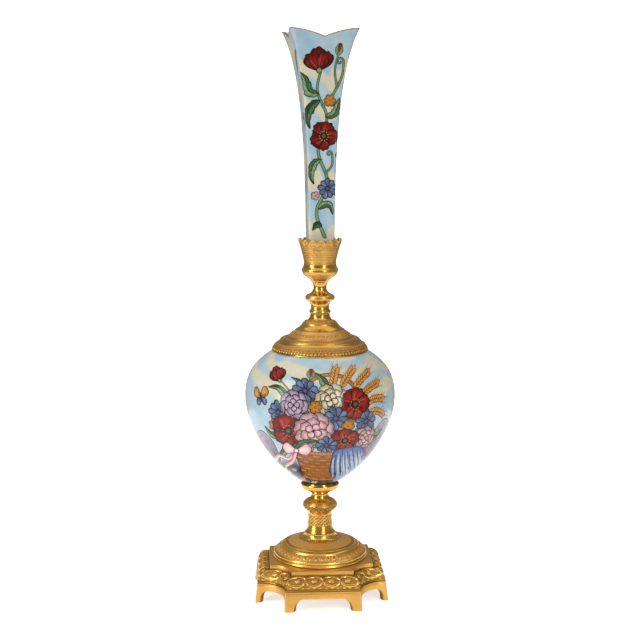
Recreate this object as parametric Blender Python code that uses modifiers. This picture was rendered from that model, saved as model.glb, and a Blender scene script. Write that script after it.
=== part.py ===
"""Bud vase: a square flared porcelain tube and a porcelain ovoid on turned, gilt bronze mounts.

The castings and the two porcelain vessels are strung on one upright axis. The origin is on that
axis, on the surface that the eight feet stand on. +Z is up and the painted front faces -Y.
Sizes are in millimetres here and become metres in the meshes.
"""
import math

import bmesh
import bpy
from mathutils import Matrix, Vector

MM = 0.001
GAP = 0.3                    # between touching pieces

# Driving sizes
HEIGHT = 400.0
TUBE_TURN = math.radians(5.7)  # the square tube was set a little askew on the square plinth

# Plinth: a square with quarter-round hollows at its corners, on eight feet
FOOT_HALF = 47.4             # half the square, at the ground
FOOT_HOLLOW = 20.3           # radius of the corner hollows, at the ground
APRON_HALF = 45.7            # the same at the top of the apron
APRON_HOLLOW = 19.4
APRON_TOP = 14.2
FILLET_TOP = 15.6
FILLET_SET_IN = 0.7
TABLE_HALF = 36.7            # the flat table that carries the dome
TABLE_HOLLOW = 14.9
FRIEZE_TOP = 22.4
TABLE_TOP = 26.1
PLINTH_WALL = 3.0
ARCH_HEIGHT = 9.0            # clear height between the feet
SIDE_FOOT_WIDTH = 5.8        # of a foot along a straight side
HOLLOW_FOOT_WIDTH = 2.6      # of a foot along a hollow
SIDE_ARCH_ROUND = 7.5        # radius that a foot's inner edge sweeps into the apron with
HOLLOW_ARCH_ROUND = 5.0
FRIEZE_BULGE = 0.32          # bend of the frieze's rounded face
ROSETTES_ON_SIDE = 4         # guilloche on the frieze
ROSETTES_IN_HOLLOW = 2
HOLLOW_PITCH = math.radians(36)
ROSETTE_RADIUS = 3.1
RELIEF = 0.8

# Heights where one turned piece ends and the next begins
DOME_TOP = 43.0
STEM_TOP = 74.2
CUP_RIM = 80.3
BODY_FOOT = 81.2
NECK_FOOT = 203.0
SOCKET_FOOT = 225.2

# Porcelain ovoid
BODY_RADIUS = 53.5
BODY_WIDEST = 145.0
BODY_FOOT_RADIUS = 11.9
BODY_MOUTH_RADIUS = 24.0
BODY_MOUTH = 182.8
BODY_WALL = 3.0

# Toothed socket
SOCKET_TIP = 257.0
TEETH = 16
TOOTH_DEPTH = 2.8
SOCKET_FLOOR = 240.0

# Square porcelain tube
TUBE_FOOT = SOCKET_FLOOR + GAP
TUBE_FOOT_HALF = 7.4
TUBE_COLLAR = 256.0          # where it comes out of the socket
TUBE_COLLAR_HALF = 9.05
TUBE_MOUTH_HALF = 24.0
TUBE_WALL = 1.6
NOTCH_DEPTH = 5.2            # of the V in the middle of each side of the mouth

# How far a profile's arc bends: the tangent of a quarter of the angle that it turns through
ROLL = 0.6
OVOLO = 0.414
SWELL = 0.2
HOLLOW = -0.2
CAVETTO = -0.414
ARC_STEP = math.radians(60)  # of a profile's arc in one facet

# Sides that a turned piece is faceted into
WIDE_SIDES = 36
CAP_SIDES = 32
NARROW_SIDES = 24
NECK_SIDES = 20


# ---------------------------------------------------------------- curves and profiles

def cubic(p0, p1, p2, p3, steps):
    """Points along a cubic curve, both ends included."""
    points = []
    for i in range(steps + 1):
        t = i / steps
        s = 1 - t
        weights = (s ** 3, 3 * s * s * t, 3 * s * t * t, t ** 3)
        points.append(tuple(sum(w * p[k] for w, p in zip(weights, (p0, p1, p2, p3))) for k in (0, 1)))
    return points


def moulding(*stations):
    """A turned profile from stations (radius, height, bend of the arc to the next station)."""
    points = []
    for here, after in zip(stations, stations[1:]):
        points.append(here[:2])
        bend = here[2] if len(here) > 2 else 0
        if not bend:
            continue
        ax, ay = here[:2]
        bx, by = after[:2]
        turn = 4 * math.atan(bend)
        chord = math.hypot(bx - ax, by - ay)
        radius = chord / (2 * math.sin(turn / 2))
        offset = radius * math.cos(turn / 2)
        cx = (ax + bx) / 2 + offset * (by - ay) / chord
        cy = (ay + by) / 2 - offset * (bx - ax) / chord
        start = math.atan2(ay - cy, ax - cx)
        facets = max(2, math.ceil(abs(turn) / ARC_STEP - 0.01))
        for i in range(1, facets):
            angle = start - turn * i / facets
            points.append((cx + abs(radius) * math.cos(angle), cy + abs(radius) * math.sin(angle)))
    points.append(stations[-1][:2])
    return points


# ---------------------------------------------------------------- materials and objects

def finish(name, colour, roughness, metallic):
    material = bpy.data.materials.new(name)
    material.use_nodes = True
    shader = material.node_tree.nodes["Principled BSDF"]
    shader.inputs["Base Color"].default_value = (*colour, 1.0)
    shader.inputs["Roughness"].default_value = roughness
    shader.inputs["Metallic"].default_value = metallic
    return material


def add_object(name, mesh, material, group):
    piece = bpy.data.objects.new(name, mesh)
    if material:
        mesh.materials.clear()
        mesh.materials.append(material)
    group.objects.link(piece)
    return piece


def mesh_from(name, bm):
    bmesh.ops.recalc_face_normals(bm, faces=bm.faces)
    mesh = bpy.data.meshes.new(name)
    bm.to_mesh(mesh)
    bm.free()
    return mesh


def as_cutter(piece):
    piece.hide_render = True
    piece.display_type = "WIRE"
    return piece


def shade(piece, degrees=35):
    piece.data.shade_smooth()
    piece.data.set_sharp_from_angle(angle=math.radians(degrees))


def turned(name, points, sides, material, group):
    """A turned piece: the profile runs down the outer side, and round or back to the axis."""
    bm = bmesh.new()
    verts = [bm.verts.new((r * MM, 0.0, z * MM)) for r, z in points]
    for a, b in zip(verts, verts[1:]):
        bm.edges.new((a, b))
    if points[0][0] > 0:
        bm.edges.new((verts[-1], verts[0]))
    mesh = bpy.data.meshes.new(name)
    bm.to_mesh(mesh)
    bm.free()
    piece = add_object(name, mesh, material, group)
    screw = piece.modifiers.new("Turn", "SCREW")
    screw.steps = screw.render_steps = sides
    screw.use_merge_vertices = True
    screw.merge_threshold = 0.00005
    screw.use_smooth_shade = True
    return piece


def made_mesh(piece):
    """The piece with its modifiers worked in, as a plain mesh."""
    bpy.context.view_layer.update()
    evaluated = piece.evaluated_get(bpy.context.evaluated_depsgraph_get())
    mesh = bpy.data.meshes.new_from_object(evaluated)
    piece.modifiers.clear()
    piece.data = mesh
    return piece


def loft(bm, rings, close_bottom=True, close_top=True):
    """Skin closed rings of the same count of points, bottom to top. The rings run anticlockwise."""
    rows = [[bm.verts.new(Vector(p) * MM) for p in ring] for ring in rings]
    count = len(rows[0])
    for low, high in zip(rows, rows[1:]):
        for i in range(count):
            j = (i + 1) % count
            bm.faces.new((low[i], low[j], high[j], high[i]))
    if close_bottom:
        bm.faces.new(rows[0][::-1])
    if close_top:
        bm.faces.new(rows[-1])
    return rows


# ---------------------------------------------------------------- plinth

def plinth_plan(half, hollow, centre, height, arc_facets=6):
    """Square of the given half width whose corners are hollowed about (centre, centre)."""
    near = centre - math.sqrt(hollow ** 2 - (centre - half) ** 2)
    first = math.atan2(half - centre, near - centre)
    last = math.atan2(near - centre, half - centre)
    first, last = first % math.tau, last % math.tau
    ring = []
    for quarter in range(4):
        turn = Matrix.Rotation(quarter * math.pi / 2, 3, "Z")
        for i in range(arc_facets + 1):
            angle = last + (first - last) * i / arc_facets
            x = centre + hollow * math.cos(angle)
            y = centre + hollow * math.sin(angle)
            ring.append(turn @ Vector((x, y, height)))
    return ring


def arch_cutter(name, half_width, rounding, angle, reach, group):
    """A tunnel with a flat crown and round shoulders, through the plinth at the given angle."""
    outline = [(-half_width, -5.0), (half_width, -5.0)]
    for side in (1, -1):
        for i in range(6):
            a = math.radians(90) * i / 5
            a = a if side > 0 else math.radians(90) - a
            outline.append((side * (half_width - rounding + rounding * math.cos(a)),
                            ARCH_HEIGHT - rounding + rounding * math.sin(a)))
    bm = bmesh.new()
    near = [bm.verts.new((x * MM, -reach * MM, z * MM)) for x, z in outline]
    face = bm.faces.new(near)
    grown = bmesh.ops.extrude_face_region(bm, geom=[face])["geom"]
    moved = [v for v in grown if isinstance(v, bmesh.types.BMVert)]
    bmesh.ops.translate(bm, verts=moved, vec=(0, 2 * reach * MM, 0))
    bmesh.ops.rotate(bm, verts=bm.verts, cent=(0, 0, 0), matrix=Matrix.Rotation(angle, 3, "Z"))
    return as_cutter(add_object(name, mesh_from(name, bm), None, group))


def frieze_outline():
    """The frieze's rounded face, foot to top: (half width, corner radius, height)."""
    foot_half = APRON_HALF - FILLET_SET_IN
    face = moulding((TABLE_HALF, FRIEZE_TOP, FRIEZE_BULGE), (foot_half, FILLET_TOP))
    slope = (APRON_HOLLOW - TABLE_HOLLOW) / (foot_half - TABLE_HALF)
    return [(half, TABLE_HOLLOW + slope * (half - TABLE_HALF), z) for half, z in reversed(face)]


def frieze_seat(foot, top, across):
    """Middle of the frieze's face above a foot point, and the frame that an ornament sits in."""
    rise = (top - foot).normalized()
    across = (across - rise * across.dot(rise)).normalized()
    out = across.cross(rise)
    swell = FRIEZE_BULGE * (top - foot).length / 2
    return (foot + top) / 2 + out * swell, across, rise, out


def add_boss(bm, seat, size, sides, height):
    """A low boss with sloping sides, sunk into the surface; size is its half (width, height)."""
    middle, across, rise, out = seat
    sink = 1.2
    depth = height + sink
    frame = Matrix((across * size[0], rise * size[1], out)).transposed().to_4x4()
    place = Matrix.Translation((middle + out * (depth / 2 - sink)) * MM) @ frame
    bmesh.ops.create_cone(bm, cap_ends=True, segments=sides, radius1=MM, radius2=0.6 * MM,
                          depth=depth * MM, matrix=place)


def guilloche_mesh():
    """Rosettes and ribbon crossings round the frieze, each a closed body of its own."""
    foot_half, foot_hollow, _ = frieze_outline()[0]
    pitch = 2 * (foot_half - foot_hollow) / (ROSETTES_ON_SIDE + 0.35)
    seats = []
    for i in range(ROSETTES_ON_SIDE * 2 - 1):
        along = (i / 2 - (ROSETTES_ON_SIDE - 1) / 2) * pitch
        foot = Vector((along, -foot_half, FILLET_TOP))
        top = Vector((along, -TABLE_HALF, FRIEZE_TOP))
        seats.append((i % 2 == 0, frieze_seat(foot, top, Vector((1, 0, 0)))))
    for i in range(ROSETTES_IN_HOLLOW * 2 - 1):
        angle = math.radians(135) + (i / 2 - (ROSETTES_IN_HOLLOW - 1) / 2) * HOLLOW_PITCH
        away = Vector((math.cos(angle), math.sin(angle), 0))
        foot = Vector((foot_half, -foot_half, FILLET_TOP)) + away * foot_hollow
        top = Vector((TABLE_HALF, -TABLE_HALF, FRIEZE_TOP)) + away * TABLE_HOLLOW
        seats.append((i % 2 == 0, frieze_seat(foot, top, Vector((-away.y, away.x, 0)) * -1)))
    bm = bmesh.new()
    for quarter in range(4):
        turn = Matrix.Rotation(quarter * math.pi / 2, 3, "Z")
        for is_rosette, seat in seats:
            placed = [turn @ v for v in seat]
            if is_rosette:
                add_boss(bm, placed, (ROSETTE_RADIUS, ROSETTE_RADIUS), 7, RELIEF)
            else:
                add_boss(bm, placed, (1.6, 3.4), 4, RELIEF * 0.7)
    return mesh_from("guilloche", bm)


def make_plinth(material, group, cutters):
    sections = (
        (FOOT_HALF, FOOT_HOLLOW, 0.0),
        (APRON_HALF, APRON_HOLLOW, APRON_TOP),
        (APRON_HALF - FILLET_SET_IN, APRON_HOLLOW, APRON_TOP + 0.5),
        *frieze_outline(),
        (TABLE_HALF, TABLE_HOLLOW, TABLE_TOP - 0.5),
        (TABLE_HALF - 0.5, TABLE_HOLLOW, TABLE_TOP),
    )
    bm = bmesh.new()
    loft(bm, [plinth_plan(half, hollow, half, z) for half, hollow, z in sections])
    plinth = add_object("plinth", mesh_from("plinth", bm), material, group)

    wall = PLINTH_WALL
    inner = (
        (FOOT_HALF - wall, FOOT_HOLLOW + wall, FOOT_HALF, -2.0),
        (APRON_HALF - wall, APRON_HOLLOW + wall, APRON_HALF, APRON_TOP),
        (TABLE_HALF - wall, TABLE_HOLLOW + wall, TABLE_HALF, FRIEZE_TOP - 1.0),
        (TABLE_HALF - wall - 1.5, TABLE_HOLLOW + wall, TABLE_HALF, TABLE_TOP - wall),
    )
    bm = bmesh.new()
    loft(bm, [plinth_plan(half, hollow, centre, z, 4) for half, hollow, centre, z in inner])
    well = as_cutter(add_object("plinth_well", mesh_from("plinth_well", bm), None, cutters))

    side_arch = FOOT_HALF - FOOT_HOLLOW - SIDE_FOOT_WIDTH
    foot_angle = math.radians(45) - HOLLOW_FOOT_WIDTH / FOOT_HOLLOW
    hollow_arch = FOOT_HOLLOW * math.sin(foot_angle)
    relief = as_cutter(add_object("guilloche", guilloche_mesh(), None, cutters))

    steps = [(relief, "UNION"), (well, "DIFFERENCE")]
    for i in range(4):
        on_side = i % 2 == 0
        half_width, rounding = (side_arch, SIDE_ARCH_ROUND) if on_side else (hollow_arch, HOLLOW_ARCH_ROUND)
        arch = arch_cutter(f"arch_{i}", half_width, rounding, i * math.pi / 4, 90.0, cutters)
        steps.append((arch, "DIFFERENCE"))
    for tool, operation in steps:
        cut = plinth.modifiers.new(tool.name, "BOOLEAN")
        cut.operation = operation
        cut.solver = "EXACT"
        cut.object = tool
    return plinth


# ---------------------------------------------------------------- turned mounts

def make_dome(material, group):
    foot = TABLE_TOP + GAP
    profile = moulding(
        (0.0, DOME_TOP), (11.2, DOME_TOP, CAVETTO), (15.2, 40.0),
        (15.8, 39.8, SWELL), (24.0, 36.5),
        (24.5, 36.5), (25.2, 36.0),
        (25.2, 35.7, OVOLO), (28.4, 33.9),
        (28.8, 33.7), (32.5, 30.9),
        (32.8, 30.8, ROLL), (33.0, 28.7),
        (33.2, 28.5, ROLL), (33.3, foot), (0.0, foot))
    return turned("foot_dome", profile, CAP_SIDES, material, group)


def make_stem(material, group):
    foot = DOME_TOP + GAP
    waist = [(6.2, 71.6), (6.6, 70.0), (9.0, 68.0)]
    knop = [(11.7, 66.0), (12.5, 64.2), (12.1, 63.0)]
    shaft = cubic((11.1, 62.0), (8.4, 58.6), (7.6, 54.0), (9.6, 46.2), 5)
    profile = [(0.0, STEM_TOP), (6.4, STEM_TOP), (6.7, 73.2), *waist, *knop, *shaft,
               (10.5, 44.2), (11.0, 43.9), (11.0, foot), (0.0, foot)]
    return turned("stem", profile, NARROW_SIDES, material, group)


def make_body_cup(material, group):
    """A saucer whose middle is raised to a seat for the ovoid's foot."""
    foot = STEM_TOP + GAP
    seat = BODY_FOOT - GAP
    profile = moulding(
        (0.0, seat), (10.6, seat), (10.9, 79.4), (12.5, 79.4), (12.8, CUP_RIM), (13.5, CUP_RIM),
        (13.6, 79.0, OVOLO), (10.0, 75.3), (8.2, foot), (0.0, foot))
    return turned("body_cup", profile, NARROW_SIDES, material, group)


def make_cap(material, group):
    foot = NECK_FOOT - GAP
    profile = moulding(
        (0.0, foot), (6.9, foot, HOLLOW), (9.2, 199.2),
        (11.6, 198.3), (12.6, 197.4), (12.9, 196.3, CAVETTO * 0.4), (17.4, 192.5),
        (18.2, 191.4), (18.5, 191.0), (22.6, 188.0),
        (23.2, 187.8), (24.4, 187.0), (26.6, 186.5, SWELL), (28.8, 184.9),
        (29.4, 184.0), (30.6, 183.1, SWELL), (33.5, 178.4),
        (34.1, 178.2, ROLL), (34.1, 177.4),
        (32.2, 178.5), (27.6, 183.2), (12.0, 192.0), (0.0, 194.0))
    return turned("shoulder_cap", profile, CAP_SIDES, material, group)


def make_neck(material, group):
    top = SOCKET_FOOT - GAP
    profile = moulding(
        (0.0, top), (5.3, top, HOLLOW), (4.9, 220.6, CAVETTO * 0.5), (8.4, 217.4),
        (9.2, 217.1, ROLL), (9.4, 213.0),
        (8.0, 212.2, HOLLOW), (6.5, 208.3), (6.7, 206.6),
        (7.0, 206.2, ROLL), (7.0, 203.9), (6.9, NECK_FOOT), (0.0, NECK_FOOT))
    return turned("neck", profile, NECK_SIDES, material, group)


def make_socket(material, group):
    """The toothed cup that the tube stands in."""
    profile = moulding(
        (0.0, SOCKET_FLOOR), (10.3, SOCKET_FLOOR), (10.6, 243.0), (14.2, SOCKET_TIP),
        (15.4, SOCKET_TIP), (14.3, 252.0), (12.4, 245.0), (11.6, 241.2),
        (11.7, 239.4), (12.3, 236.2), (12.8, 235.4),
        (12.8, 234.0), (12.0, 231.8), (10.1, 229.8), (7.2, 227.8), (5.4, SOCKET_FOOT),
        (0.0, SOCKET_FOOT))
    piece = made_mesh(turned("socket_cup", profile, TEETH * 2, material, group))
    for vertex in piece.data.vertices:
        step = round(math.atan2(vertex.co.y, vertex.co.x) / (math.pi / TEETH))
        if vertex.co.z > (SOCKET_TIP - 0.1) * MM and step % 2:
            vertex.co.z -= TOOTH_DEPTH * MM
    return piece


# ---------------------------------------------------------------- porcelain

def body_outline(wall, upper_steps, lower_steps):
    """The ovoid's side from mouth to foot, set in by a wall."""
    mouth_slope = math.radians(29.7)
    foot_slope = math.radians(30.8)
    mouth = (BODY_MOUTH_RADIUS - wall, BODY_MOUTH)
    widest = (BODY_RADIUS - wall, BODY_WIDEST)
    foot = (BODY_FOOT_RADIUS - wall * 0.6, BODY_FOOT + wall)
    upper = cubic(mouth,
                  (mouth[0] + 17.4 * math.cos(mouth_slope), mouth[1] - 17.4 * math.sin(mouth_slope) - wall),
                  (widest[0], widest[1] + 22.9 - wall), widest, upper_steps)
    lower = cubic(widest, (widest[0], widest[1] - 18.2),
                  (foot[0] + 33.9 * math.cos(foot_slope), foot[1] + 33.9 * math.sin(foot_slope)),
                  foot, lower_steps)
    return upper + lower[1:]


def make_body(material, group):
    """The hollow ovoid, open at its mouth under the cap."""
    inner = [(0.0, BODY_FOOT + BODY_WALL), *reversed(body_outline(BODY_WALL, 3, 4))]
    outer = [*body_outline(0.0, 6, 8), (0.0, BODY_FOOT)]
    return turned("body", [*inner, *outer], WIDE_SIDES, material, group)


def tube_half(height):
    """Half the tube's width across the flats, at a height above the socket's rim."""
    mouth_slope = math.radians(63.6)
    side = cubic((TUBE_COLLAR_HALF, TUBE_COLLAR), (TUBE_COLLAR_HALF + 0.8, TUBE_COLLAR + 19.3),
                 (TUBE_MOUTH_HALF - 36.5 * math.cos(mouth_slope), HEIGHT - 36.5 * math.sin(mouth_slope)),
                 (TUBE_MOUTH_HALF, HEIGHT), 24)
    for (r0, z0), (r1, z1) in zip(side, side[1:]):
        if z0 <= height <= z1:
            return r0 + (r1 - r0) * (height - z0) / (z1 - z0)
    return TUBE_COLLAR_HALF


def tube_section(half, rim_height):
    """A square with small round corners; rim_height gives the height at a share of the half width."""
    rounding = 1.2 + 0.05 * half
    flats = (-0.78, -0.45, 0.0, 0.45, 0.78)
    ring = []
    for quarter in range(4):
        turn = Matrix.Rotation(quarter * math.pi / 2 + TUBE_TURN, 3, "Z")
        for share in flats:
            ring.append(turn @ Vector((share * half, -half, rim_height(share))))
        for degrees in (-75, -45, -15):
            a = math.radians(degrees)
            x = half - rounding + rounding * math.cos(a)
            y = -half + rounding + rounding * math.sin(a)
            ring.append(turn @ Vector((x, y, rim_height(1.0))))
    return ring


def rim(share):
    """The mouth's edge on one side: a V in the middle, humped towards the corners."""
    return HEIGHT - NOTCH_DEPTH * max(0.0, 1 - abs(share)) ** 1.5


def tube_rings(wall, heights):
    """Sections of the tube from its foot to its mouth, set in by a wall."""
    rings = [tube_section(TUBE_FOOT_HALF - wall, lambda share: TUBE_FOOT + wall)]
    for height in heights:
        rings.append(tube_section(tube_half(height) - wall, lambda share, z=height: z))
    mouth = tube_section(TUBE_MOUTH_HALF, rim)
    for point in mouth:
        shrink = (tube_half(min(point.z, HEIGHT)) - wall) / TUBE_MOUTH_HALF
        point.x *= shrink
        point.y *= shrink
    rings.append(mouth)
    return rings


def make_tube(material, group):
    outer = tube_rings(0.0, (TUBE_COLLAR, 290.0, 318.0, 340.0, 358.0, 374.0, 386.0))
    inner = tube_rings(TUBE_WALL, (TUBE_COLLAR, 318.0, 350.0, 374.0, 386.0))
    bm = bmesh.new()
    loft(bm, outer + inner[::-1])
    return add_object("tube", mesh_from("tube", bm), material, group)


# ---------------------------------------------------------------- the whole

def main():
    for old in list(bpy.data.objects):
        bpy.data.objects.remove(old, do_unlink=True)
    vase = bpy.data.collections.new("bud_vase")
    cutters = bpy.data.collections.new("cutters")
    for group in (vase, cutters):
        bpy.context.scene.collection.children.link(group)

    gilt = finish("gilt_bronze", (0.72, 0.45, 0.13), 0.32, 1.0)
    porcelain = finish("painted_porcelain", (0.60, 0.72, 0.76), 0.12, 0.0)

    make_plinth(gilt, vase, cutters)
    make_dome(gilt, vase)
    make_stem(gilt, vase)
    make_body_cup(gilt, vase)
    make_body(porcelain, vase)
    make_cap(gilt, vase)
    make_neck(gilt, vase)
    make_socket(gilt, vase)
    make_tube(porcelain, vase)
    for piece in vase.objects:
        shade(piece)


main()
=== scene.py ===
"""The looks of the bud vase: painted porcelain ovoid and square tube on chased, gilt bronze mounts.

Lengths in the making are in millimetres and become metres in the meshes. The front faces -Y.
"""
import math

import bmesh
import bpy
import numpy as np
from mathutils import Matrix, Vector
from mathutils.geometry import delaunay_2d_cdt


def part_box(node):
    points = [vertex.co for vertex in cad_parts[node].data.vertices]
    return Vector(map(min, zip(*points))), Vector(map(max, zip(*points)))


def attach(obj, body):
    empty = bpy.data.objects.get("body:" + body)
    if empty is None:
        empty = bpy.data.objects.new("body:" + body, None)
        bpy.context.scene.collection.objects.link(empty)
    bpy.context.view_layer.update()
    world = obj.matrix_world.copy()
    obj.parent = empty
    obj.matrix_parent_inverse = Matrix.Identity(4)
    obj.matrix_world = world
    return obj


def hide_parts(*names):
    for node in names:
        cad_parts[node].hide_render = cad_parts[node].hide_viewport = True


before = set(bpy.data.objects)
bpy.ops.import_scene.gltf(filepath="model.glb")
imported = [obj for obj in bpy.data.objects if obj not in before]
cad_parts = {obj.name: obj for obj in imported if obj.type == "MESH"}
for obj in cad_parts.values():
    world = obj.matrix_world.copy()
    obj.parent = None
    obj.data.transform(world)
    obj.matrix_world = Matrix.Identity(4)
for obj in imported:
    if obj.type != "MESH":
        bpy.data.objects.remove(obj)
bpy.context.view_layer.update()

MM = 0.001
TAU = math.tau


def lowest(node):
    """Height of a CAD node's foot, in millimetres."""
    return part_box(node)[0].z / MM


def highest(node):
    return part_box(node)[1].z / MM


def widest(node):
    """Half the width of a CAD node, in millimetres."""
    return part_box(node)[1].x / MM


# ---------------------------------------------------------------- lines and profiles

RUNS_AT_ONCE = 12       # runs of a line that are measured together


def cubic(p0, p1, p2, p3, steps):
    """Points along a cubic curve, both ends included."""
    t = np.linspace(0, 1, steps + 1)[:, None]
    s = 1 - t
    ends = [np.array(p, float) for p in (p0, p1, p2, p3)]
    return s ** 3 * ends[0] + 3 * s * s * t * ends[1] + 3 * s * t * t * ends[2] + t ** 3 * ends[3]


def smooth(points, closed=False, step=0.9):
    """A smooth line through the points, with a point about every step."""
    p = np.array(points, float)
    if closed:
        p = np.vstack([p[-1], p, p[0], p[1]])
    else:
        p = np.vstack([2 * p[0] - p[1], p, 2 * p[-1] - p[-2]])
    line = []
    for a, b, c, d in zip(p, p[1:], p[2:], p[3:]):
        count = max(2, math.ceil(np.linalg.norm(c - b) / step))
        t = np.linspace(0, 1, count, endpoint=False)[:, None]
        line.append(b + 0.5 * t * (c - a + t * (2 * a - 5 * b + 4 * c - d + t * (3 * b - a - 3 * c + d))))
    if not closed:
        line.append(p[-2:-1])
    return np.vstack(line)


def lengths(line):
    """Distance along a line at each of its points."""
    return np.concatenate([[0], np.cumsum(np.linalg.norm(np.diff(line, axis=0), axis=1))])


def sideways(line):
    """Unit vectors to the left of a line."""
    run = np.gradient(line, axis=0)
    run /= np.maximum(np.linalg.norm(run, axis=1), 1e-9)[:, None]
    return np.stack([-run[:, 1], run[:, 0]], 1)


def thinned(line, slack):
    """A line without the points that lie within slack of the straight run past them."""
    kept = [0]
    x, y = line.T.tolist()
    for i in range(2, len(x)):
        k = kept[-1]
        run_x, run_y = x[i] - x[k], y[i] - y[k]
        size = math.hypot(run_x, run_y) or 1e-9
        if any(abs((x[j] - x[k]) * run_y - (y[j] - y[k]) * run_x) > slack * size for j in range(k + 1, i)):
            kept.append(i - 1)
    return line[[*kept, len(x) - 1]]


def nearest(points, line, closed=False, reach=np.inf):
    """For each point, its distance to a line and how far along it the nearest place is, 0 to 1.
    Places further off than reach may be left at an endless distance."""
    a, b = (line, np.roll(line, -1, 0)) if closed else (line[:-1], line[1:])
    x, y = points.T
    best_gap = np.full(len(points), np.inf)
    best_at = np.zeros(len(points))
    for first in range(0, len(a), RUNS_AT_ONCE):
        p, q = a[first:first + RUNS_AT_ONCE], b[first:first + RUNS_AT_ONCE]
        low, high = np.minimum(p, q).min(0) - reach, np.maximum(p, q).max(0) + reach
        near = np.flatnonzero((x > low[0]) & (x < high[0]) & (y > low[1]) & (y < high[1]))
        if not len(near):
            continue
        run = q - p
        size = np.maximum((run ** 2).sum(1), 1e-12)
        dx, dy = x[near][:, None] - p[:, 0], y[near][:, None] - p[:, 1]
        t = np.clip((dx * run[:, 0] + dy * run[:, 1]) / size, 0, 1)
        gap = np.hypot(dx - t * run[:, 0], dy - t * run[:, 1])
        nearest_one = gap.argmin(1)
        rows = np.arange(len(near))
        gap, at = gap[rows, nearest_one], (first + nearest_one + t[rows, nearest_one]) / len(a)
        better = gap < best_gap[near]
        best_gap[near[better]] = gap[better]
        best_at[near[better]] = at[better]
    return best_gap, best_at


def within(outline, points):
    """Which points lie inside a closed outline."""
    x, y = points.T
    ax, ay = outline[:, :1], outline[:, 1:]
    bx, by = np.roll(ax, -1, 0), np.roll(ay, -1, 0)
    rise = np.where(by == ay, 1e-12, by - ay)
    crossed = ((ay > y) != (by > y)) & (x < (bx - ax) * (y - ay) / rise + ax)
    return crossed.sum(0) % 2 == 1


def ripple(points, size, seed):
    """Soft random waves between -1 and 1 at each point; size is their length in millimetres."""
    dice = np.random.default_rng(seed)
    total = np.zeros(len(points))
    for _ in range(7):
        turn = dice.uniform(0, TAU)
        way = heading(turn) * TAU / (size * dice.uniform(0.6, 1.5))
        total += np.sin(points @ way + dice.uniform(0, TAU))
    return total / 3.2


def heading(angle):
    """A step of one in a direction, in radians."""
    return np.array([math.cos(angle), math.sin(angle)])


def heading_all(angles):
    return np.stack([np.cos(angles), np.sin(angles)], 1)


def to_linear(colour):
    """Colours as the eye reads them, 0 to 255, turned into amounts of light."""
    c = np.clip(np.asarray(colour, float) / 255, 0, 1)
    return np.where(c <= 0.04045, c / 12.92, ((c + 0.055) / 1.055) ** 2.4)


# ---------------------------------------------------------------- vessels laid flat for painting

BROAD_STROKE = 0.75     # half width from which a soft stroke needs no edges cut for it
RIM_SLACK = 0.042       # how far a cut may stray from a painted rim
JOIN_REACH = 0.045      # corners of the painted mesh that are nearer than this become one


class Skin:
    """A vessel's outer face laid flat: turn goes round it, up goes along its side in millimetres."""

    def __init__(self, period, start, pitch, sheet, top, lift, girth, place):
        self.period = period      # a whole turn
        self.start = start        # the turn where the sheet is cut open
        self.pitch = pitch        # millimetres between points
        self.sheet = sheet        # millimetres to a unit of turn on the flat sheet
        self.top = top            # highest up at a turn
        self.lift = lift          # height in the vase to up
        self.girth = girth        # millimetres to a unit of turn at an up
        self.place = place        # (turn, up) to a point on the vessel

    def wrapped(self, turn):
        return (turn + self.period / 2) % self.period - self.period / 2

    def local(self, turn, up, facing):
        """Millimetres across and up, as seen square on at the facing turn."""
        return np.stack([self.wrapped(turn - facing) * self.girth(up), up], 1)

    def flat(self, line, facing):
        """A line in millimetres at a facing turn, on the flat sheet."""
        return np.stack([(facing + line[:, 0] / self.girth(line[:, 1])) * self.sheet, line[:, 1]], 1)

    def count(self, up):
        """How many points would go round the vessel at an up."""
        return self.period * float(self.girth(up)) / self.pitch

    def grid(self):
        """The closed edge as a loop, and evenly spread points inside it."""
        start, end = self.start, self.start + self.period
        crown = float(np.max(self.top(np.linspace(start, end, 400))))
        seam_top = float(self.top(np.array([start]))[0])
        rows = int(seam_top / self.pitch)
        seam = np.linspace(0, seam_top, rows + 1)
        turns = np.linspace(start, end, 8 * math.ceil(round(self.count(crown)) / 8) + 1)
        self.mouth = turns, self.top(turns)
        foot = np.linspace(start, end, 8 * math.ceil(self.count(0.0) / 8) + 1)
        edge = np.vstack([
            np.stack([foot, np.zeros_like(foot)], 1)[:-1],
            np.stack([np.full(rows + 1, end), seam], 1)[:-1],
            np.stack([turns, self.top(turns)], 1)[::-1][:-1],
            np.stack([np.full(rows + 1, start), seam], 1)[::-1][:-1]])
        inner = []
        for row, up in enumerate(np.arange(self.pitch, crown, self.pitch)):
            count = max(8, round(self.count(up)))
            turn = (np.arange(count) + 0.25 + 0.5 * (row % 2)) / count * self.period + start
            keep = up < self.top(turn) - 0.35 * self.pitch
            inner.append(np.stack([turn[keep], np.full(keep.sum(), up)], 1))
        scale = np.array([self.sheet, 1.0])
        return edge * scale, np.vstack(inner) * scale


class Area:
    """A closed outline filled with paint."""

    soft = 0.0

    def __init__(self, line, paint, facing):
        self.rim, self.paint, self.facing = line, paint, facing
        self.low, self.high = line.min(0), line.max(0)

    def covers(self, points):
        return within(self.rim, points)

    def cover(self, points):
        """Strength and depth below the edge at each point."""
        return np.ones(len(points)), nearest(points, self.rim, True)[0]


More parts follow.
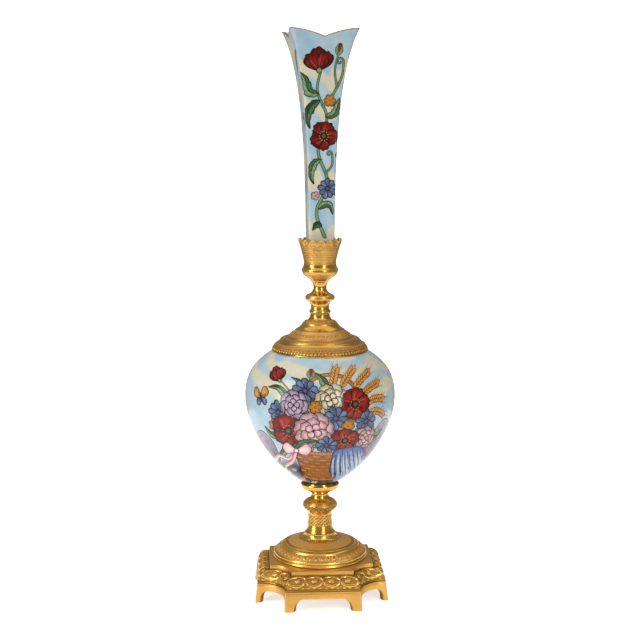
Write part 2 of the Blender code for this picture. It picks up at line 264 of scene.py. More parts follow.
class Stroke:
    """A brush stroke along a line, half as wide as given at each point. With no softness it is opaque
    up to its edge; otherwise soft is its strength along the middle, and it fades out at the sides."""

    def __init__(self, line, half, paint, soft, facing):
        self.line, self.half, self.paint, self.soft, self.facing = line, half, paint, soft, facing
        out = sideways(line) * half[:, None]
        self.rim = np.vstack([line + out, (line - out)[::-1]])
        self.low, self.high = self.rim.min(0), self.rim.max(0)

    def share(self, points):
        gap, t = nearest(points, self.line, reach=self.half.max() + 0.1)
        half = np.interp(t * (len(self.line) - 1), np.arange(len(self.line)), self.half)
        return gap, np.maximum(half, 1e-6)

    def covers(self, points):
        gap, half = self.share(points)
        return gap <= half * 1.001

    def cover(self, points):
        gap, half = self.share(points)
        depth = np.clip(half - gap, 0, None)
        if not self.soft:
            return np.ones(len(points)), depth
        return np.clip(1.6 * np.clip(1 - gap / half, 0, 1), 0, 1) * self.soft, depth


class Painting:
    """Paint laid on a skin, one shape over another. Places are (millimetres across, height in the vase)."""

    def __init__(self, skin, ground):
        self.skin, self.ground, self.layers, self.facing = skin, ground, [], 0.0

    def spots(self, points):
        p = np.array(points, float)
        return np.stack([p[:, 0], self.skin.lift(p[:, 1])], 1)

    # -- plain marks

    def area(self, line, paint):
        self.layers.append(Area(line, paint, self.facing))

    def stroke(self, line, half, paint, soft=0.0):
        half = np.broadcast_to(half, len(line)).astype(float)
        self.layers.append(Stroke(line, half, paint, soft, self.facing))

    def ink(self, line, width=0.5, colour=None, closed=False):
        """A dark outline that swells and thins a little."""
        if closed:
            line = np.vstack([line, line[:1]])
        t = lengths(line)
        half = width / 2 * (0.85 + 0.25 * np.sin(t * 0.45 + line[0, 0]))
        if not closed:
            half = half * np.clip(0.25 + 6 * np.minimum(t, t[-1] - t) / max(t[-1], 1e-6), 0, 1)
        self.stroke(line, half, plain(INK if colour is None else colour))

    def sweep(self, line, width, colour, strength):
        """A soft stroke that is widest near its middle."""
        t = np.linspace(0, 1, len(line))
        half = width / 2 * np.sin(np.pi * np.clip(t, 0.04, 0.96)) ** 0.7
        self.stroke(line, half, plain(colour), strength)

    def outlined(self, line, paint, width=0.5, colour=None):
        self.area(line, paint)
        self.ink(line, width, colour, closed=True)

    # -- working the mesh

    def colours(self, turn, up, triangles):
        """The paint at each corner of each triangle."""
        middle_turn, middle_up = turn[triangles].mean(1), up[triangles].mean(1)
        views = {}
        base = self.ground(turn, up)
        corners = base[triangles]
        for layer in self.layers:
            if layer.facing not in views:
                middles = self.skin.local(middle_turn, middle_up, layer.facing)
                spots = self.skin.local(turn, up, layer.facing)
                views[layer.facing] = spots, np.ascontiguousarray(middles.T)
            spots, (x, y) = views[layer.facing]
            (left, low), (right, high) = layer.low, layer.high
            near = np.flatnonzero((x > left) & (x < right) & (y > low) & (y < high))
            if not len(near):
                continue
            chosen = near[layer.covers(np.stack([x[near], y[near]], 1))]
            if not len(chosen):
                continue
            used, back = np.unique(triangles[chosen], return_inverse=True)
            strength, depth = layer.cover(spots[used])
            paint = layer.paint(spots[used], depth)
            strength, paint = strength[back].reshape(-1, 3, 1), paint[back].reshape(-1, 3, 3)
            corners[chosen] += (paint - corners[chosen]) * strength
        return corners

    def cut_lines(self):
        """The rims of every hard-edged shape on the flat sheet, but for the runs that a later shape hides.
        Each comes as its points and the pairs of them that are joined, again where it crosses the cut."""
        skin = self.skin
        areas = [(place, layer) for place, layer in enumerate(self.layers) if isinstance(layer, Area)]
        places = np.array([place for place, _ in areas])
        facings = np.array([area.facing for _, area in areas])
        lows = np.array([area.low for _, area in areas])
        highs = np.array([area.high for _, area in areas])
        for place, layer in enumerate(self.layers):
            if layer.soft and layer.half.max() >= BROAD_STROKE:
                continue
            above = (places > place) & (facings == layer.facing)
            above &= (lows < layer.high).all(1) & (highs > layer.low).all(1)
            rim = thinned(layer.rim, RIM_SLACK)
            starts = np.flatnonzero(~hidden_runs(rim, [areas[k][1] for k in np.flatnonzero(above)]))
            if not len(starts):
                continue
            used, back = np.unique(np.stack([starts, (starts + 1) % len(rim)], 1), return_inverse=True)
            line, pairs = skin.flat(rim[used], layer.facing), back.reshape(-1, 2)
            for shift in (-skin.period, 0, skin.period):
                moved = line + [shift * skin.sheet, 0]
                low, high = moved[:, 0].min() / skin.sheet, moved[:, 0].max() / skin.sheet
                if high > skin.start and low < skin.start + skin.period:
                    yield moved, pairs


def hidden_runs(rim, areas):
    """Which runs from one of a closed rim's points to the next lie wholly under one of the areas."""
    middles = (rim + np.roll(rim, -1, 0)) / 2
    hidden = np.zeros(len(rim), bool)
    for area in areas:
        inside = area.covers(rim)
        if inside.any():
            hidden |= inside & np.roll(inside, -1) & area.covers(middles)
    return hidden


def plain(colour):
    colour = np.array(colour, float)
    return lambda points, depth: np.broadcast_to(colour, (len(points), 3))


def rounded(middle, edge, depth=2.5, mottle=0.0, seed=1):
    """Paint that darkens or changes towards a shape's edge."""
    middle, edge = np.array(middle, float), np.array(edge, float)

    def paint(points, below):
        t = np.clip(below / depth, 0, 1)[:, None]
        return edge + (middle - edge) * t + mottle * ripple(points, 5.0, seed)[:, None]
    return paint


def graded(low, high, start, end, mottle, seed):
    """Paint that changes from a place to another, given in millimetres across and up."""
    low, high = np.array(low, float), np.array(high, float)
    start, run = np.array(start, float), np.array(end, float) - np.array(start, float)

    def paint(points, below):
        t = np.clip((points - start) @ run / (run @ run), 0, 1)[:, None]
        return low + (high - low) * t + mottle * ripple(points, 6.0, seed)[:, None]
    return paint


# ---------------------------------------------------------------- meshes

def link(name, data):
    """A mesh, lamp or camera put in the scene."""
    piece = bpy.data.objects.new(name, data)
    bpy.context.scene.collection.objects.link(piece)
    return piece


def dress(piece, slot, material, *nodes):
    """Puts a finished piece on the vase in place of its CAD nodes."""
    piece.data.materials.clear()
    piece.data.materials.append(material)
    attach(piece, "root")
    if nodes:
        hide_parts(*nodes)


def strip(low, high):
    """Faces between two closed rows of corners."""
    return np.stack([low, np.roll(low, -1), np.roll(high, -1), high], 1)


def fan(row, pole):
    """Faces from a closed row of corners to a single corner."""
    return np.stack([row, np.roll(row, -1), np.full(len(row), pole)], 1)


def merged(triangles, flat, reach, free):
    """The triangles once corners nearer than reach have become one; a corner that is not free stays."""
    sides = np.vstack([triangles[:, [0, 1]], triangles[:, [1, 2]], triangles[:, [2, 0]]])
    short = sides[np.linalg.norm(flat[sides[:, 0]] - flat[sides[:, 1]], axis=1) < reach]
    count = len(flat)
    name = np.arange(count) + count * free
    for _ in range(12):
        low = np.minimum(name[short[:, 0]], name[short[:, 1]])
        np.minimum.at(name, short[:, 0], low)
        np.minimum.at(name, short[:, 1], low)
    joined = (name % count)[triangles]
    a, b, c = joined.T
    joined = joined[(a != b) & (b != c) & (c != a)]
    a, b, c = (flat[joined[:, k]] for k in range(3))
    area = (b - a)[:, 0] * (c - a)[:, 1] - (b - a)[:, 1] * (c - a)[:, 0]
    joined[area < 0] = joined[area < 0][:, ::-1]
    return joined


def cut_sheet(skin, painting):
    """The flat sheet cut into triangles along the painted rims: its corners, and the triangles."""
    edge, inner = skin.grid()
    points = [edge, inner]
    edges = [np.stack([np.arange(len(edge)), np.roll(np.arange(len(edge)), -1)], 1)]
    total = len(edge) + len(inner)
    for line, pairs in painting.cut_lines():
        edges.append(total + pairs)
        points.append(line)
        total += len(line)
    sheet = [Vector(p) for p in np.vstack(points).tolist()]
    made = delaunay_2d_cdt(sheet, np.vstack(edges).tolist(), [], 0, 1e-5, False)
    return np.array([v[:] for v in made[0]]), np.array([f for f in made[2] if len(f) == 3])


def sewn(triangles, left, right, up):
    """The triangles once the corners down the sheet's right edge have become those down its left edge,
    and which of the triangles are still whole."""
    left = left[np.argsort(up[left])]
    middles = (up[left][1:] + up[left][:-1]) / 2
    joined = np.arange(len(up))
    joined[right] = left[np.searchsorted(middles, up[right])]
    a, b, c = joined[triangles].T
    whole = (a != b) & (b != c) & (c != a)
    return joined[triangles][whole], whole


def vessel(name, skin, painting, wall_rows, foot, gilded):
    """A closed vessel: the painted outer face, the rim, the glazed inside and the foot."""
    flat, triangles = cut_sheet(skin, painting)
    turn, up = flat[:, 0] / skin.sheet, flat[:, 1].astype(float)
    start, end = skin.start, skin.start + skin.period
    middle_turn, middle_up = turn[triangles].mean(1), up[triangles].mean(1)
    kept = (middle_turn > start) & (middle_turn < end) & (middle_up > 0)
    triangles = triangles[kept & (middle_up < np.interp(middle_turn, *skin.mouth))]
    at_start, at_end = np.abs(turn - start) < 1e-5, np.abs(turn - end) < 1e-5
    at_foot, at_mouth = np.abs(up) < 1e-4, np.abs(up - np.interp(turn, *skin.mouth)) < 1e-4
    triangles = merged(triangles, flat, JOIN_REACH, ~(at_start | at_end | at_foot | at_mouth))

    paint = painting.colours(turn, up, triangles)
    held = np.zeros(len(turn), bool)
    held[triangles.ravel()] = True
    triangles, whole = sewn(triangles, np.flatnonzero(held & at_start), np.flatnonzero(held & at_end), up)
    paint = paint[whole]
    used, back = np.unique(triangles, return_inverse=True)
    triangles = back.reshape(-1, 3)
    turn, up, at_foot, at_mouth = turn[used], up[used], at_foot[used], at_mouth[used]
    outer = skin.place(turn, up)

    # the two open edges of the outer face
    ring_top, ring_foot = np.flatnonzero(at_mouth), np.flatnonzero(at_foot)
    ring_top = ring_top[np.argsort(turn[ring_top])]
    ring_foot = ring_foot[np.argsort(turn[ring_foot])]

    count = len(ring_top)
    rows = [ring_top] + [len(outer) + k * count + np.arange(count) for k in range(len(wall_rows))]
    inside = [row(turn[ring_top]) for row in wall_rows]
    poles = [wall_rows[-1](np.zeros(1)) * [0, 0, 1], [[0.0, 0.0, foot]]]
    verts = np.vstack([outer, *inside, *poles])
    inner_pole, foot_pole = len(verts) - 2, len(verts) - 1

    quads = np.vstack([strip(low, high) for low, high in zip(rows, rows[1:])])
    floor_fan = fan(rows[-1], inner_pole)
    foot_fan = fan(ring_foot, foot_pole)[:, [1, 0, 2]]

    # normals: true to the smooth form outside, left to the mesh elsewhere
    across = skin.place(turn + 0.001, up) - skin.place(turn - 0.001, up)
    along = skin.place(turn, up + 0.01) - skin.place(turn, up - 0.01)
    out = np.cross(across, along)
    out /= np.linalg.norm(out, axis=1)[:, None]

    faces = [face for part in (triangles, quads, floor_fan, foot_fan) for face in part.tolist()]
    mesh = bpy.data.meshes.new(name)
    mesh.from_pydata((verts * MM).tolist(), [], faces)
    mesh.shade_smooth()
    outside = len(triangles)
    smoothed = np.ones(len(faces), bool)
    smoothed[outside:outside + count] = False       # the rim, which is the first strip
    smoothed[-len(foot_fan):] = False
    mesh.polygons.foreach_set("use_smooth", smoothed)

    rim = slice(3 * outside, 3 * outside + 4 * count)
    loops = np.full((len(mesh.loops), 3), GLAZE, float)
    loops[:rim.start] = paint.reshape(-1, 3)
    loops[rim] = GILT_LINE if gilded else GLAZE
    gold = np.zeros(len(loops))
    gold[rim] = gilded
    rgba = np.column_stack([to_linear(loops), gold])
    attribute = mesh.color_attributes.new("paint", "FLOAT_COLOR", "CORNER")
    attribute.data.foreach_set("color", rgba.ravel().astype(np.float32))
    normals = np.zeros((len(mesh.loops), 3))
    normals[:rim.start] = out[triangles.ravel()]
    mesh.normals_split_custom_set(normals.tolist())
    return link(name, mesh)


# ---------------------------------------------------------------- materials

def add_node(tree, kind, settings=(), sockets=()):
    """Adds a node to a tree: settings first, then a value or a link for each socket."""
    node = tree.nodes.new(kind)
    for key, value in dict(settings).items():
        setattr(node, key, value)
    for key, value in dict(sockets).items():
        if isinstance(value, bpy.types.NodeSocket):
            tree.links.new(value, node.inputs[key])
        else:
            node.inputs[key].default_value = value
    return node


class Worth:
    """A number that a material works out. Sums with it add the nodes that work them out."""

    def __init__(self, recipe, socket):
        self.recipe, self.socket = recipe, socket

    def maths(self, operation, *others):
        return self.recipe.node("ShaderNodeMath", {"operation": operation},
                                {i: other for i, other in enumerate((self, *others))})

    def __add__(self, other):
        return self.maths("ADD", other)

    __radd__ = __add__

    def __mul__(self, other):
        return self.maths("MULTIPLY", other)

    __rmul__ = __mul__

    def __sub__(self, other):
        return self.maths("SUBTRACT", other)

    def __rsub__(self, other):
        return self.recipe.node("ShaderNodeMath", {"operation": "SUBTRACT"}, {0: other, 1: self})

    def over(self, low, high):
        """0 below low, 1 above high, and straight between them."""
        return self.recipe.node("ShaderNodeMapRange", {"clamp": True}, {0: self, 1: low, 2: high})


class Recipe:
    """The nodes of one material."""

    def __init__(self, name, **constants):
        self.material = bpy.data.materials.new(name)
        self.material.use_nodes = True
        self.tree = self.material.node_tree
        self.shader = self.tree.nodes["Principled BSDF"]
        for socket, value in constants.items():
            self.shader.inputs[socket.replace("_", " ")].default_value = value
        self.place = self.node("ShaderNodeTexCoord", {}, {}, "Object")

    def node(self, kind, settings=(), sockets=(), out=0):
        sockets = {key: getattr(value, "socket", value) for key, value in dict(sockets).items()}
        return Worth(self, add_node(self.tree, kind, settings, sockets).outputs[out])

    def noise(self, scale, detail, rough=0.55):
        return self.node("ShaderNodeTexNoise", {}, {"Vector": self.place, "Scale": scale,
                                                    "Detail": detail, "Roughness": rough})

    def mixed(self, share, first, second):
        return self.node("ShaderNodeMix", {"data_type": "RGBA"}, {0: share, 6: first, 7: second}, 2)

    def toned(self, colour, tint, share):
        """A colour with a tint multiplied into it."""
        return self.node("ShaderNodeMix", {"data_type": "RGBA", "blend_type": "MULTIPLY"},
                         {0: share, 6: colour, 7: tint}, 2)

    def attribute(self, name, out="Fac"):
        return self.node("ShaderNodeAttribute", {"attribute_name": name}, {}, out)

    def finish(self, **links):
        for socket, value in links.items():
            self.tree.links.new(value.socket, self.shader.inputs[socket.replace("_", " ")])
        return self.material


def rgb(*colour):
    return (*to_linear(colour).tolist(), 1.0)


def painted_porcelain():
    """Enamel colours under a clear glaze, with a gilt line where the paint's alpha says so."""
    mix = Recipe("painted_porcelain", IOR=1.45, Specular_IOR_Level=0.15, Coat_Roughness=0.10,
                 Coat_Weight=0.24)
    paint = mix.attribute("paint", "Color")
    gold = mix.attribute("paint", "Alpha")
    cloudy = mix.noise(140.0, 4.0)
    grain = mix.noise(900.0, 3.0, 0.7)
    tone = (cloudy * 0.6 + grain * 0.4).over(0.30, 0.70)
    colour = mix.toned(paint, mix.mixed(tone, rgb(236, 233, 229), rgb(255, 255, 255)), 1.0)
    rough = 0.10 + cloudy.over(0.35, 0.75) * 0.10 + gold * 0.12
    ripples = mix.noise(55.0, 2.0) * 0.7 + grain * 0.3
    bump = mix.node("ShaderNodeBump", {}, {"Height": ripples, "Strength": 0.10, "Distance": 0.0006})
    return mix.finish(Base_Color=colour, Roughness=rough, Metallic=gold, Normal=bump)


def gilding(name, bright, deep, rough, grain_size, grain_depth):
    """Mercury gilding: burnished where "matte" is 0 and satin where it is 1, toned dark where "grime" is
    high, which is patina in the hollows and painted shade on the plinth's inside and underside. "Along" is
    the way along a turned profile in millimetres, for the lines that the lathe left."""
    mix = Recipe(name)
    matte = mix.attribute("matte")
    patina_and_shade = mix.attribute("patina_and_shade")
    cloudy = mix.noise(38.0, 4.0)
    fine = mix.noise(grain_size, 4.0, 0.65)
    scratches = mix.noise(260.0, 6.0, 0.7)
    along = mix.attribute("along")
    lathe = mix.node("ShaderNodeTexNoise", {"noise_dimensions": "1D"},
                     {"W": along, "Scale": 1.0, "Detail": 3.0, "Roughness": 0.6})
    tooled = matte.over(0.1, 0.7)
    wear = (cloudy * 0.65 + fine * 0.35).over(0.34, 0.66)
    gold = mix.mixed(wear, deep, bright)
    dulled = mix.mixed((matte * 0.6).over(0.0, 1.0), gold, rgb(220, 164, 98))
    toning = patina_and_shade.over(0.0, 1.0) * (0.5 + fine * 0.6) + (1 - lathe.over(0.33, 0.50)) * tooled * 0.36
    colour = mix.mixed(toning, dulled, rgb(104, 56, 18))
    roughness = (rough + matte * 0.26 + (fine - 0.5) * (0.08 + 0.12 * matte) + patina_and_shade * 0.15
                 + scratches.over(0.55, 0.8) * 0.07)
    height = fine * (0.2 + matte) + scratches * 0.25 + cloudy * 0.5 + lathe * (0.15 + tooled * 2.6)
    bump = mix.node("ShaderNodeBump", {}, {"Height": height, "Strength": 0.5, "Distance": grain_depth})
    return mix.finish(Base_Color=colour, Roughness=roughness, Metallic=1 - matte * 0.4, Normal=bump)


def studio_white(name, glow):
    mix = Recipe(name, Roughness=0.9, Emission_Strength=glow, Emission_Color=(1, 1, 1, 1))
    return mix.finish(Base_Color=mix.mixed(mix.noise(3.0, 2.0), rgb(250, 250, 250), rgb(247, 247, 247)))


# ---------------------------------------------------------------- paint colours

INK = (30, 22, 24)
GILT_LINE = (214, 178, 120)
GLAZE = (226, 228, 226)
SKY = (180, 200, 209)
SKY_DEEP = (154, 189, 209)
CREAM = (208, 203, 182)


# ---------------------------------------------------------------- the two porcelain vessels

BODY_FOOT, BODY_MOUTH = lowest("body"), highest("body")
BODY_RADIUS = widest("body")
BODY_WIDEST = 145.0
BODY_FOOT_RADIUS = 11.9
BODY_MOUTH_RADIUS = 24.0
BODY_WALL = 3.0
MOUTH_PULL, ABOVE_PULL = 17.4, 22.9         # how far the curve heads off from each end of its upper half
BELOW_PULL, FOOT_PULL = 18.2, 33.9          # and of its lower half
MOUTH_SLOPE, FOOT_SLOPE = math.radians(29.7), math.radians(30.8)


def body_outline(wall, steps):
    """The ovoid's side from foot to mouth, set in by a wall."""
    mouth = np.array([BODY_MOUTH_RADIUS - wall, BODY_MOUTH])
    middle = np.array([BODY_RADIUS - wall, BODY_WIDEST])
    foot = np.array([BODY_FOOT_RADIUS - wall * 0.6, BODY_FOOT + wall])
    upper = cubic(mouth, mouth + MOUTH_PULL * heading(-MOUTH_SLOPE) - [0, wall],
                  middle + [0, ABOVE_PULL - wall], middle, steps)
    lower = cubic(middle, middle - [0, BELOW_PULL], foot + FOOT_PULL * heading(FOOT_SLOPE), foot, steps)
    return np.vstack([upper, lower[1:]])[::-1]


BODY_SIDE = body_outline(0.0, 300)
BODY_RUN = lengths(BODY_SIDE)


def body_place(turn, up):
    """On the ovoid: turn in radians from the front, up along its side."""
    r = np.interp(up, BODY_RUN, BODY_SIDE[:, 0])
    z = np.interp(up, BODY_RUN, BODY_SIDE[:, 1])
    return np.stack([r * np.sin(turn), -r * np.cos(turn), z], 1)


def ring_row(r, z):
    return lambda turn: np.stack([r * np.sin(turn), -r * np.cos(turn), np.full(len(turn), z)], 1)


body_skin = Skin(TAU, -2.75, 1.35, BODY_RADIUS,
                 top=lambda turn: np.full(np.shape(turn), BODY_RUN[-1]),
                 lift=lambda z: np.interp(z, BODY_SIDE[:, 1], BODY_RUN),
                 girth=lambda up: np.interp(up, BODY_RUN, BODY_SIDE[:, 0]),
                 place=body_place)

TUBE_TURN = math.radians(5.7)   # the square tube was set a little askew on the square plinth
TUBE_FOOT, HEIGHT = lowest("tube"), highest("tube")
TUBE_FOOT_HALF = 7.4
TUBE_COLLAR = 256.0             # where it comes out of the socket
TUBE_COLLAR_HALF = 9.05
TUBE_MOUTH_HALF = 24.0
TUBE_WALL = 1.6
NOTCH_DEPTH = 5.2               # of the V in the middle of each side of the mouth

FLARE_PULL, FLARE_SLOPE = 36.5, math.radians(63.6)      # how the tube's side comes to the mouth

TUBE_SIDE = np.vstack([
    [(TUBE_FOOT_HALF, TUBE_FOOT)],
    cubic((TUBE_COLLAR_HALF, TUBE_COLLAR), (TUBE_COLLAR_HALF + 0.8, TUBE_COLLAR + 19.3),
          np.array([TUBE_MOUTH_HALF, HEIGHT]) - FLARE_PULL * heading(FLARE_SLOPE),
          (TUBE_MOUTH_HALF, HEIGHT), 200)])


def tube_half(height):
    """Half the tube's width across the flats."""
    return np.interp(height, TUBE_SIDE[:, 1], TUBE_SIDE[:, 0])


def tube_section(turn, half):
    """A square with small round corners; turn runs from -4 to 4 half widths, 0 in the middle of the front."""
    side = np.floor((turn + 1) / 2)
    share = turn - 2 * side
    rounding = 1.2 + 0.05 * half
    flat = half - rounding
    quarter = rounding * math.pi / 4
    reach = np.abs(share) * (flat + quarter)
    bend = np.clip((reach - flat) / rounding, 0, math.pi / 4)
    x = np.where(reach < flat, reach, flat + rounding * np.sin(bend)) * np.sign(share)
    y = -np.where(reach < flat, half, flat + rounding * np.cos(bend))
    angle = side * math.pi / 2 + TUBE_TURN
    return x * np.cos(angle) - y * np.sin(angle), x * np.sin(angle) + y * np.cos(angle)


def tube_rim(turn):
    """Height of the mouth's edge: a V in the middle of each side, humped towards the corners."""
    share = np.abs((np.asarray(turn) + 1) % 2 - 1)
    return HEIGHT - NOTCH_DEPTH * np.clip(1 - share * 1.06, 0, 1) ** 1.5


def tube_place(turn, up):
    x, y = tube_section(turn, tube_half(up + TUBE_FOOT))
    return np.stack([x, y, up + TUBE_FOOT], 1)


def tube_row(height):
    """A ring of the tube's inside; with no height it is the mouth's edge."""
    def row(turn):
        z = tube_rim(turn) if height is None else np.full(len(turn), height)
        x, y = tube_section(turn, tube_half(z) - TUBE_WALL)
        return np.stack([x, y, z], 1)
    return row


tube_skin = Skin(8.0, -3.0, 0.95, 12.0,
                 top=lambda turn: tube_rim(turn) - TUBE_FOOT,
                 lift=lambda z: z - TUBE_FOOT,
                 girth=lambda up: tube_half(up + TUBE_FOOT),
                 place=tube_place)


# ---------------------------------------------------------------- the ground, and the painter's brushes

def sky(skin, cream_rows, seed):
    """Blue sky crossed by slanting cream clouds, all round the vessel."""
    def ground(turn, up):
        around = turn / skin.period * TAU
        slant = up + 7 * np.sin(around + 0.6) + 4 * np.sin(2 * around + 2.0) + 2 * np.sin(5 * around)
        sway = ripple(np.stack([np.cos(around) * 40, np.sin(around) * 40 + up], 1), 28.0, seed)
        cream = np.zeros(len(up))
        for row, width in cream_rows:
            t = np.clip(2.6 * (1 - np.abs(slant + 3.0 * sway - row) / width), 0, 1)
            cream = np.maximum(cream, t * t * (3 - 2 * t))
        cream = cream[:, None]
        blue = np.array(SKY, float) + (np.array(SKY_DEEP) - SKY) * (0.5 + 0.5 * sway)[:, None]
        return blue + (np.array(CREAM) - blue) * cream
    return ground


RED, RED_DARK, RED_LIGHT = (152, 40, 30), (84, 16, 16), (196, 92, 74)
GREEN, GREEN_LIGHT, GREEN_DARK = (84, 118, 82), (134, 162, 114), (38, 66, 46)
WHEAT, WHEAT_LIGHT, WHEAT_DARK, WHEAT_INK = (212, 148, 56), (240, 194, 104), (184, 112, 36), (84, 46, 24)
ROSE, LILAC, ORANGE, IVORY = (222, 176, 182), (190, 168, 192), (212, 136, 54), (226, 214, 184)
PINK, PINK_LIGHT, PINK_DEEP = (226, 198, 200), (242, 226, 226), (196, 126, 138)
BLUE, BLUE_LIGHT, BLUE_DARK = (100, 124, 170), (196, 210, 222), (44, 54, 108)
ROCK_LIGHT, ROCK_DARK = (160, 154, 170), (86, 78, 100)
WICKER, WICKER_LIGHT, WICKER_DARK = (148, 92, 52), (190, 138, 86), (84, 44, 24)
TUBE_RED = (124, 26, 20)
LIT, DIM = (GREEN_LIGHT, GREEN), (GREEN, GREEN_DARK)        # shades of bright leaves, and of dull ones


def circle(middle, radius, count=14, squash=1.0, tilt=0.0):
    """Points round a circle, or an oval with its long way turned by tilt."""
    a = np.arange(count) * TAU / count
    x, y = radius * np.cos(a), radius * squash * np.sin(a)
    return middle + np.outer(x, heading(tilt)) + np.outer(y, heading(tilt + math.pi / 2))


class Painter(Painting):
    """Plants, cloth and rocks, painted with outlines and a few strokes."""

    def line(self, points, step=0.9, closed=False):
        return smooth(self.spots(points), closed, step)

    def spot(self, place):
        return self.spots([place])[0]

    def disc(self, place, radius, middle, edge, depth, count=14, squash=1.0, tilt=0.0, line=0.5):
        """An outlined round or oval spot of colour."""
        rim = circle(self.spot(place), radius, count, squash, tilt)
        self.outlined(rim, rounded(middle, edge, depth), line)

    def curled(self, points, turns=0.0, radius=2.4, way=1):
        """A line through points that may end in a spiral."""
        line = self.line(points, 0.8)
        steps = int(turns * 20)
        if not steps:
            return line
        x, y = line[-1] - line[-2]
        angle = math.atan2(y, x) + way * TAU / 20 * np.arange(1, steps + 1)
        pace = radius * (1 - 0.75 * np.arange(steps) / steps) * TAU / 20
        return np.vstack([line, line[-1] + np.cumsum(heading_all(angle) * pace[:, None], axis=0)])

    def strand(self, line, half, middle, edge, ink=INK, rim=0.3):
        """A round, outlined stroke."""
        self.stroke(line, half + rim, plain(ink))
        self.stroke(line, half, rounded(middle, edge, np.max(half) * 0.9))

    def stem(self, points, width, turns=0.0, radius=2.4, way=1):
        line = self.curled(points, turns, radius, way)
        self.strand(line, width / 2 * np.linspace(1, 0.6, len(line)), GREEN_LIGHT, GREEN)

    def leaf(self, points, width, shade, teeth=0, veins=5, line=0.5):
        """A leaf along its middle line, with the darker shade to the right of the line."""
        light, dark = shade
        mid = self.line(points, 0.8)
        t = np.linspace(0, 1, len(mid))
        half = width / 2 * np.sin(np.pi * t ** 0.75) ** 0.85 + 0.05
        if teeth:
            half = half * (1 + 0.34 * (t * teeth % 1 - 0.5) * np.sin(np.pi * t))
        out = sideways(mid) * half[:, None]
        rim = np.vstack([mid + out, (mid - out)[::-1]])
        self.area(rim, rounded(light, dark, width * 0.2, 6, len(self.layers)))
        self.area(np.vstack([mid, (mid - out)[::-1]]), rounded(dark, GREEN_DARK, width * 0.2))
        for k in range(veins):
            i = int(len(mid) * (0.15 + 0.62 * k / veins))
            j = min(len(mid) - 1, i + int(len(mid) * 0.16))
            for side in (1, -1):
                bow = (mid[i] + mid[j] + side * out[j] * 0.55) / 2
                vein = smooth([mid[i], bow, mid[j] + side * out[j] * 0.8], step=1.2)
                self.ink(vein, 0.32, GREEN_DARK)
        self.ink(mid, line * 0.8, GREEN_DARK)
        self.ink(rim, line, closed=True)

    def petal(self, root, angle, length, width, bow=0.0, colour=RED, frill=3, simple=False):
        """A petal from its root; angle is where it points, 0 to the right and 90 up, in degrees."""
        seed = len(self.layers)
        t = np.linspace(0, 1, 16)
        way = heading(math.radians(angle))
        mid = self.spot(root) + np.outer(t * length, way) + np.outer(
            bow * np.sin(np.pi * t * 0.75), [-way[1], way[0]])
        half = width / 2 * (0.14 + 0.86 * np.sin(np.pi * t * 0.62) ** 1.1)
        side = sideways(mid)
        out = side * half[:, None]
        s = np.linspace(1, -1, 3 + 2 * frill)[1:-1]
        end_run = (mid[-1] - mid[-2]) / np.linalg.norm(mid[-1] - mid[-2])
        bulge = width * (0.24 * (1 - s ** 2) + 0.05 * np.cos(np.pi * frill * s + seed))
        end = mid[-1] + np.outer(s, out[-1]) + np.outer(bulge, end_run)
        tip = smooth(np.vstack([mid[-1] + out[-1], end, mid[-1] - out[-1]]), step=0.8)[1:-1]
        rim = np.vstack([mid + out, tip, (mid - out)[::-1]])
        tone = np.array(colour, float)
        light = tone + np.subtract(RED_LIGHT, RED) * 0.8
        self.area(rim, rounded(tone, tone * 0.66, width * 0.24, 9, seed))
        sweeps = ((0.5, light, 0.8, 0.26), (-0.5, tone * 0.55, 0.75, 0.22), (-0.05, light, 0.55, 0.16),
                  (0.25, tone * 0.6, 0.5, 0.12))
        for share, paint, strength, size in sweeps[:2 if simple else 4]:
            self.sweep((mid + side * (half * share)[:, None])[2:], width * size, paint, strength)
        for share in ((0.05,) if simple else (-0.3, 0.12, 0.62)):
            self.ink((mid + side * (half * share)[:, None])[1:12], 0.34, tone * 0.5)
        self.stroke(mid[:7], np.linspace(0.16, 0.04, 7) * width, plain(tone * 0.4), 0.9)
        self.ink(rim, 0.62, closed=True)

    def heart(self, spot, radius):
        """The seed head in the middle of a poppy, with its stamens."""
        middle = self.spot(spot)
        for a in np.arange(11) * TAU / 11 + 0.3:
            way = heading(a)
            self.ink(np.stack([middle + way * radius * f for f in (0.6, 1.2, 1.8)]), 0.34)
            self.area(circle(middle + way * radius * 1.9, 0.36, 7), plain((196, 158, 84)))
        self.disc(spot, radius, (130, 140, 88), (48, 56, 40), radius * 0.8)
        for a in np.arange(3) * math.pi / 3:
            way = heading(a) * radius * 0.6
            self.ink(np.stack([middle - way, middle, middle + way]), 0.3)

    def poppy(self, spot, size, petals, turn, squash, colour=RED):
        """An open poppy with broad petals; the outer ones lie under the inner ones."""
        order = [i for i in range(petals) if i % 2] + [i for i in range(petals) if not i % 2]
        for i in order:
            x, y = heading(math.radians(turn + 360.0 * i / petals)) * [1, squash]
            self.petal(spot, math.degrees(math.atan2(y, x)), size * 0.8 * math.hypot(x, y), size * 1.12,
                       (-1) ** i * 0.06 * size, np.array(colour) * (1 - 0.06 * (i % 3)))
        self.heart(spot, size * 0.17)

    def goblet(self, spot, size, lean=0.0, colour=RED):
        """A poppy seen from the side, opening upwards; lean is to the right, in degrees."""
        for angle, length, width in ((128, 0.9, 0.8), (52, 0.9, 0.8), (90, 1.0, 0.9), (112, 0.78, 0.72),
                                     (66, 0.8, 0.72)):
            self.petal(spot, angle - lean, size * length * 0.86, size * width * 0.78, 0.0,
                       np.array(colour) * (0.82 if length > 0.85 else 1.0), 2)
        self.disc(spot, size * 0.13, GREEN_LIGHT, GREEN, size * 0.1)

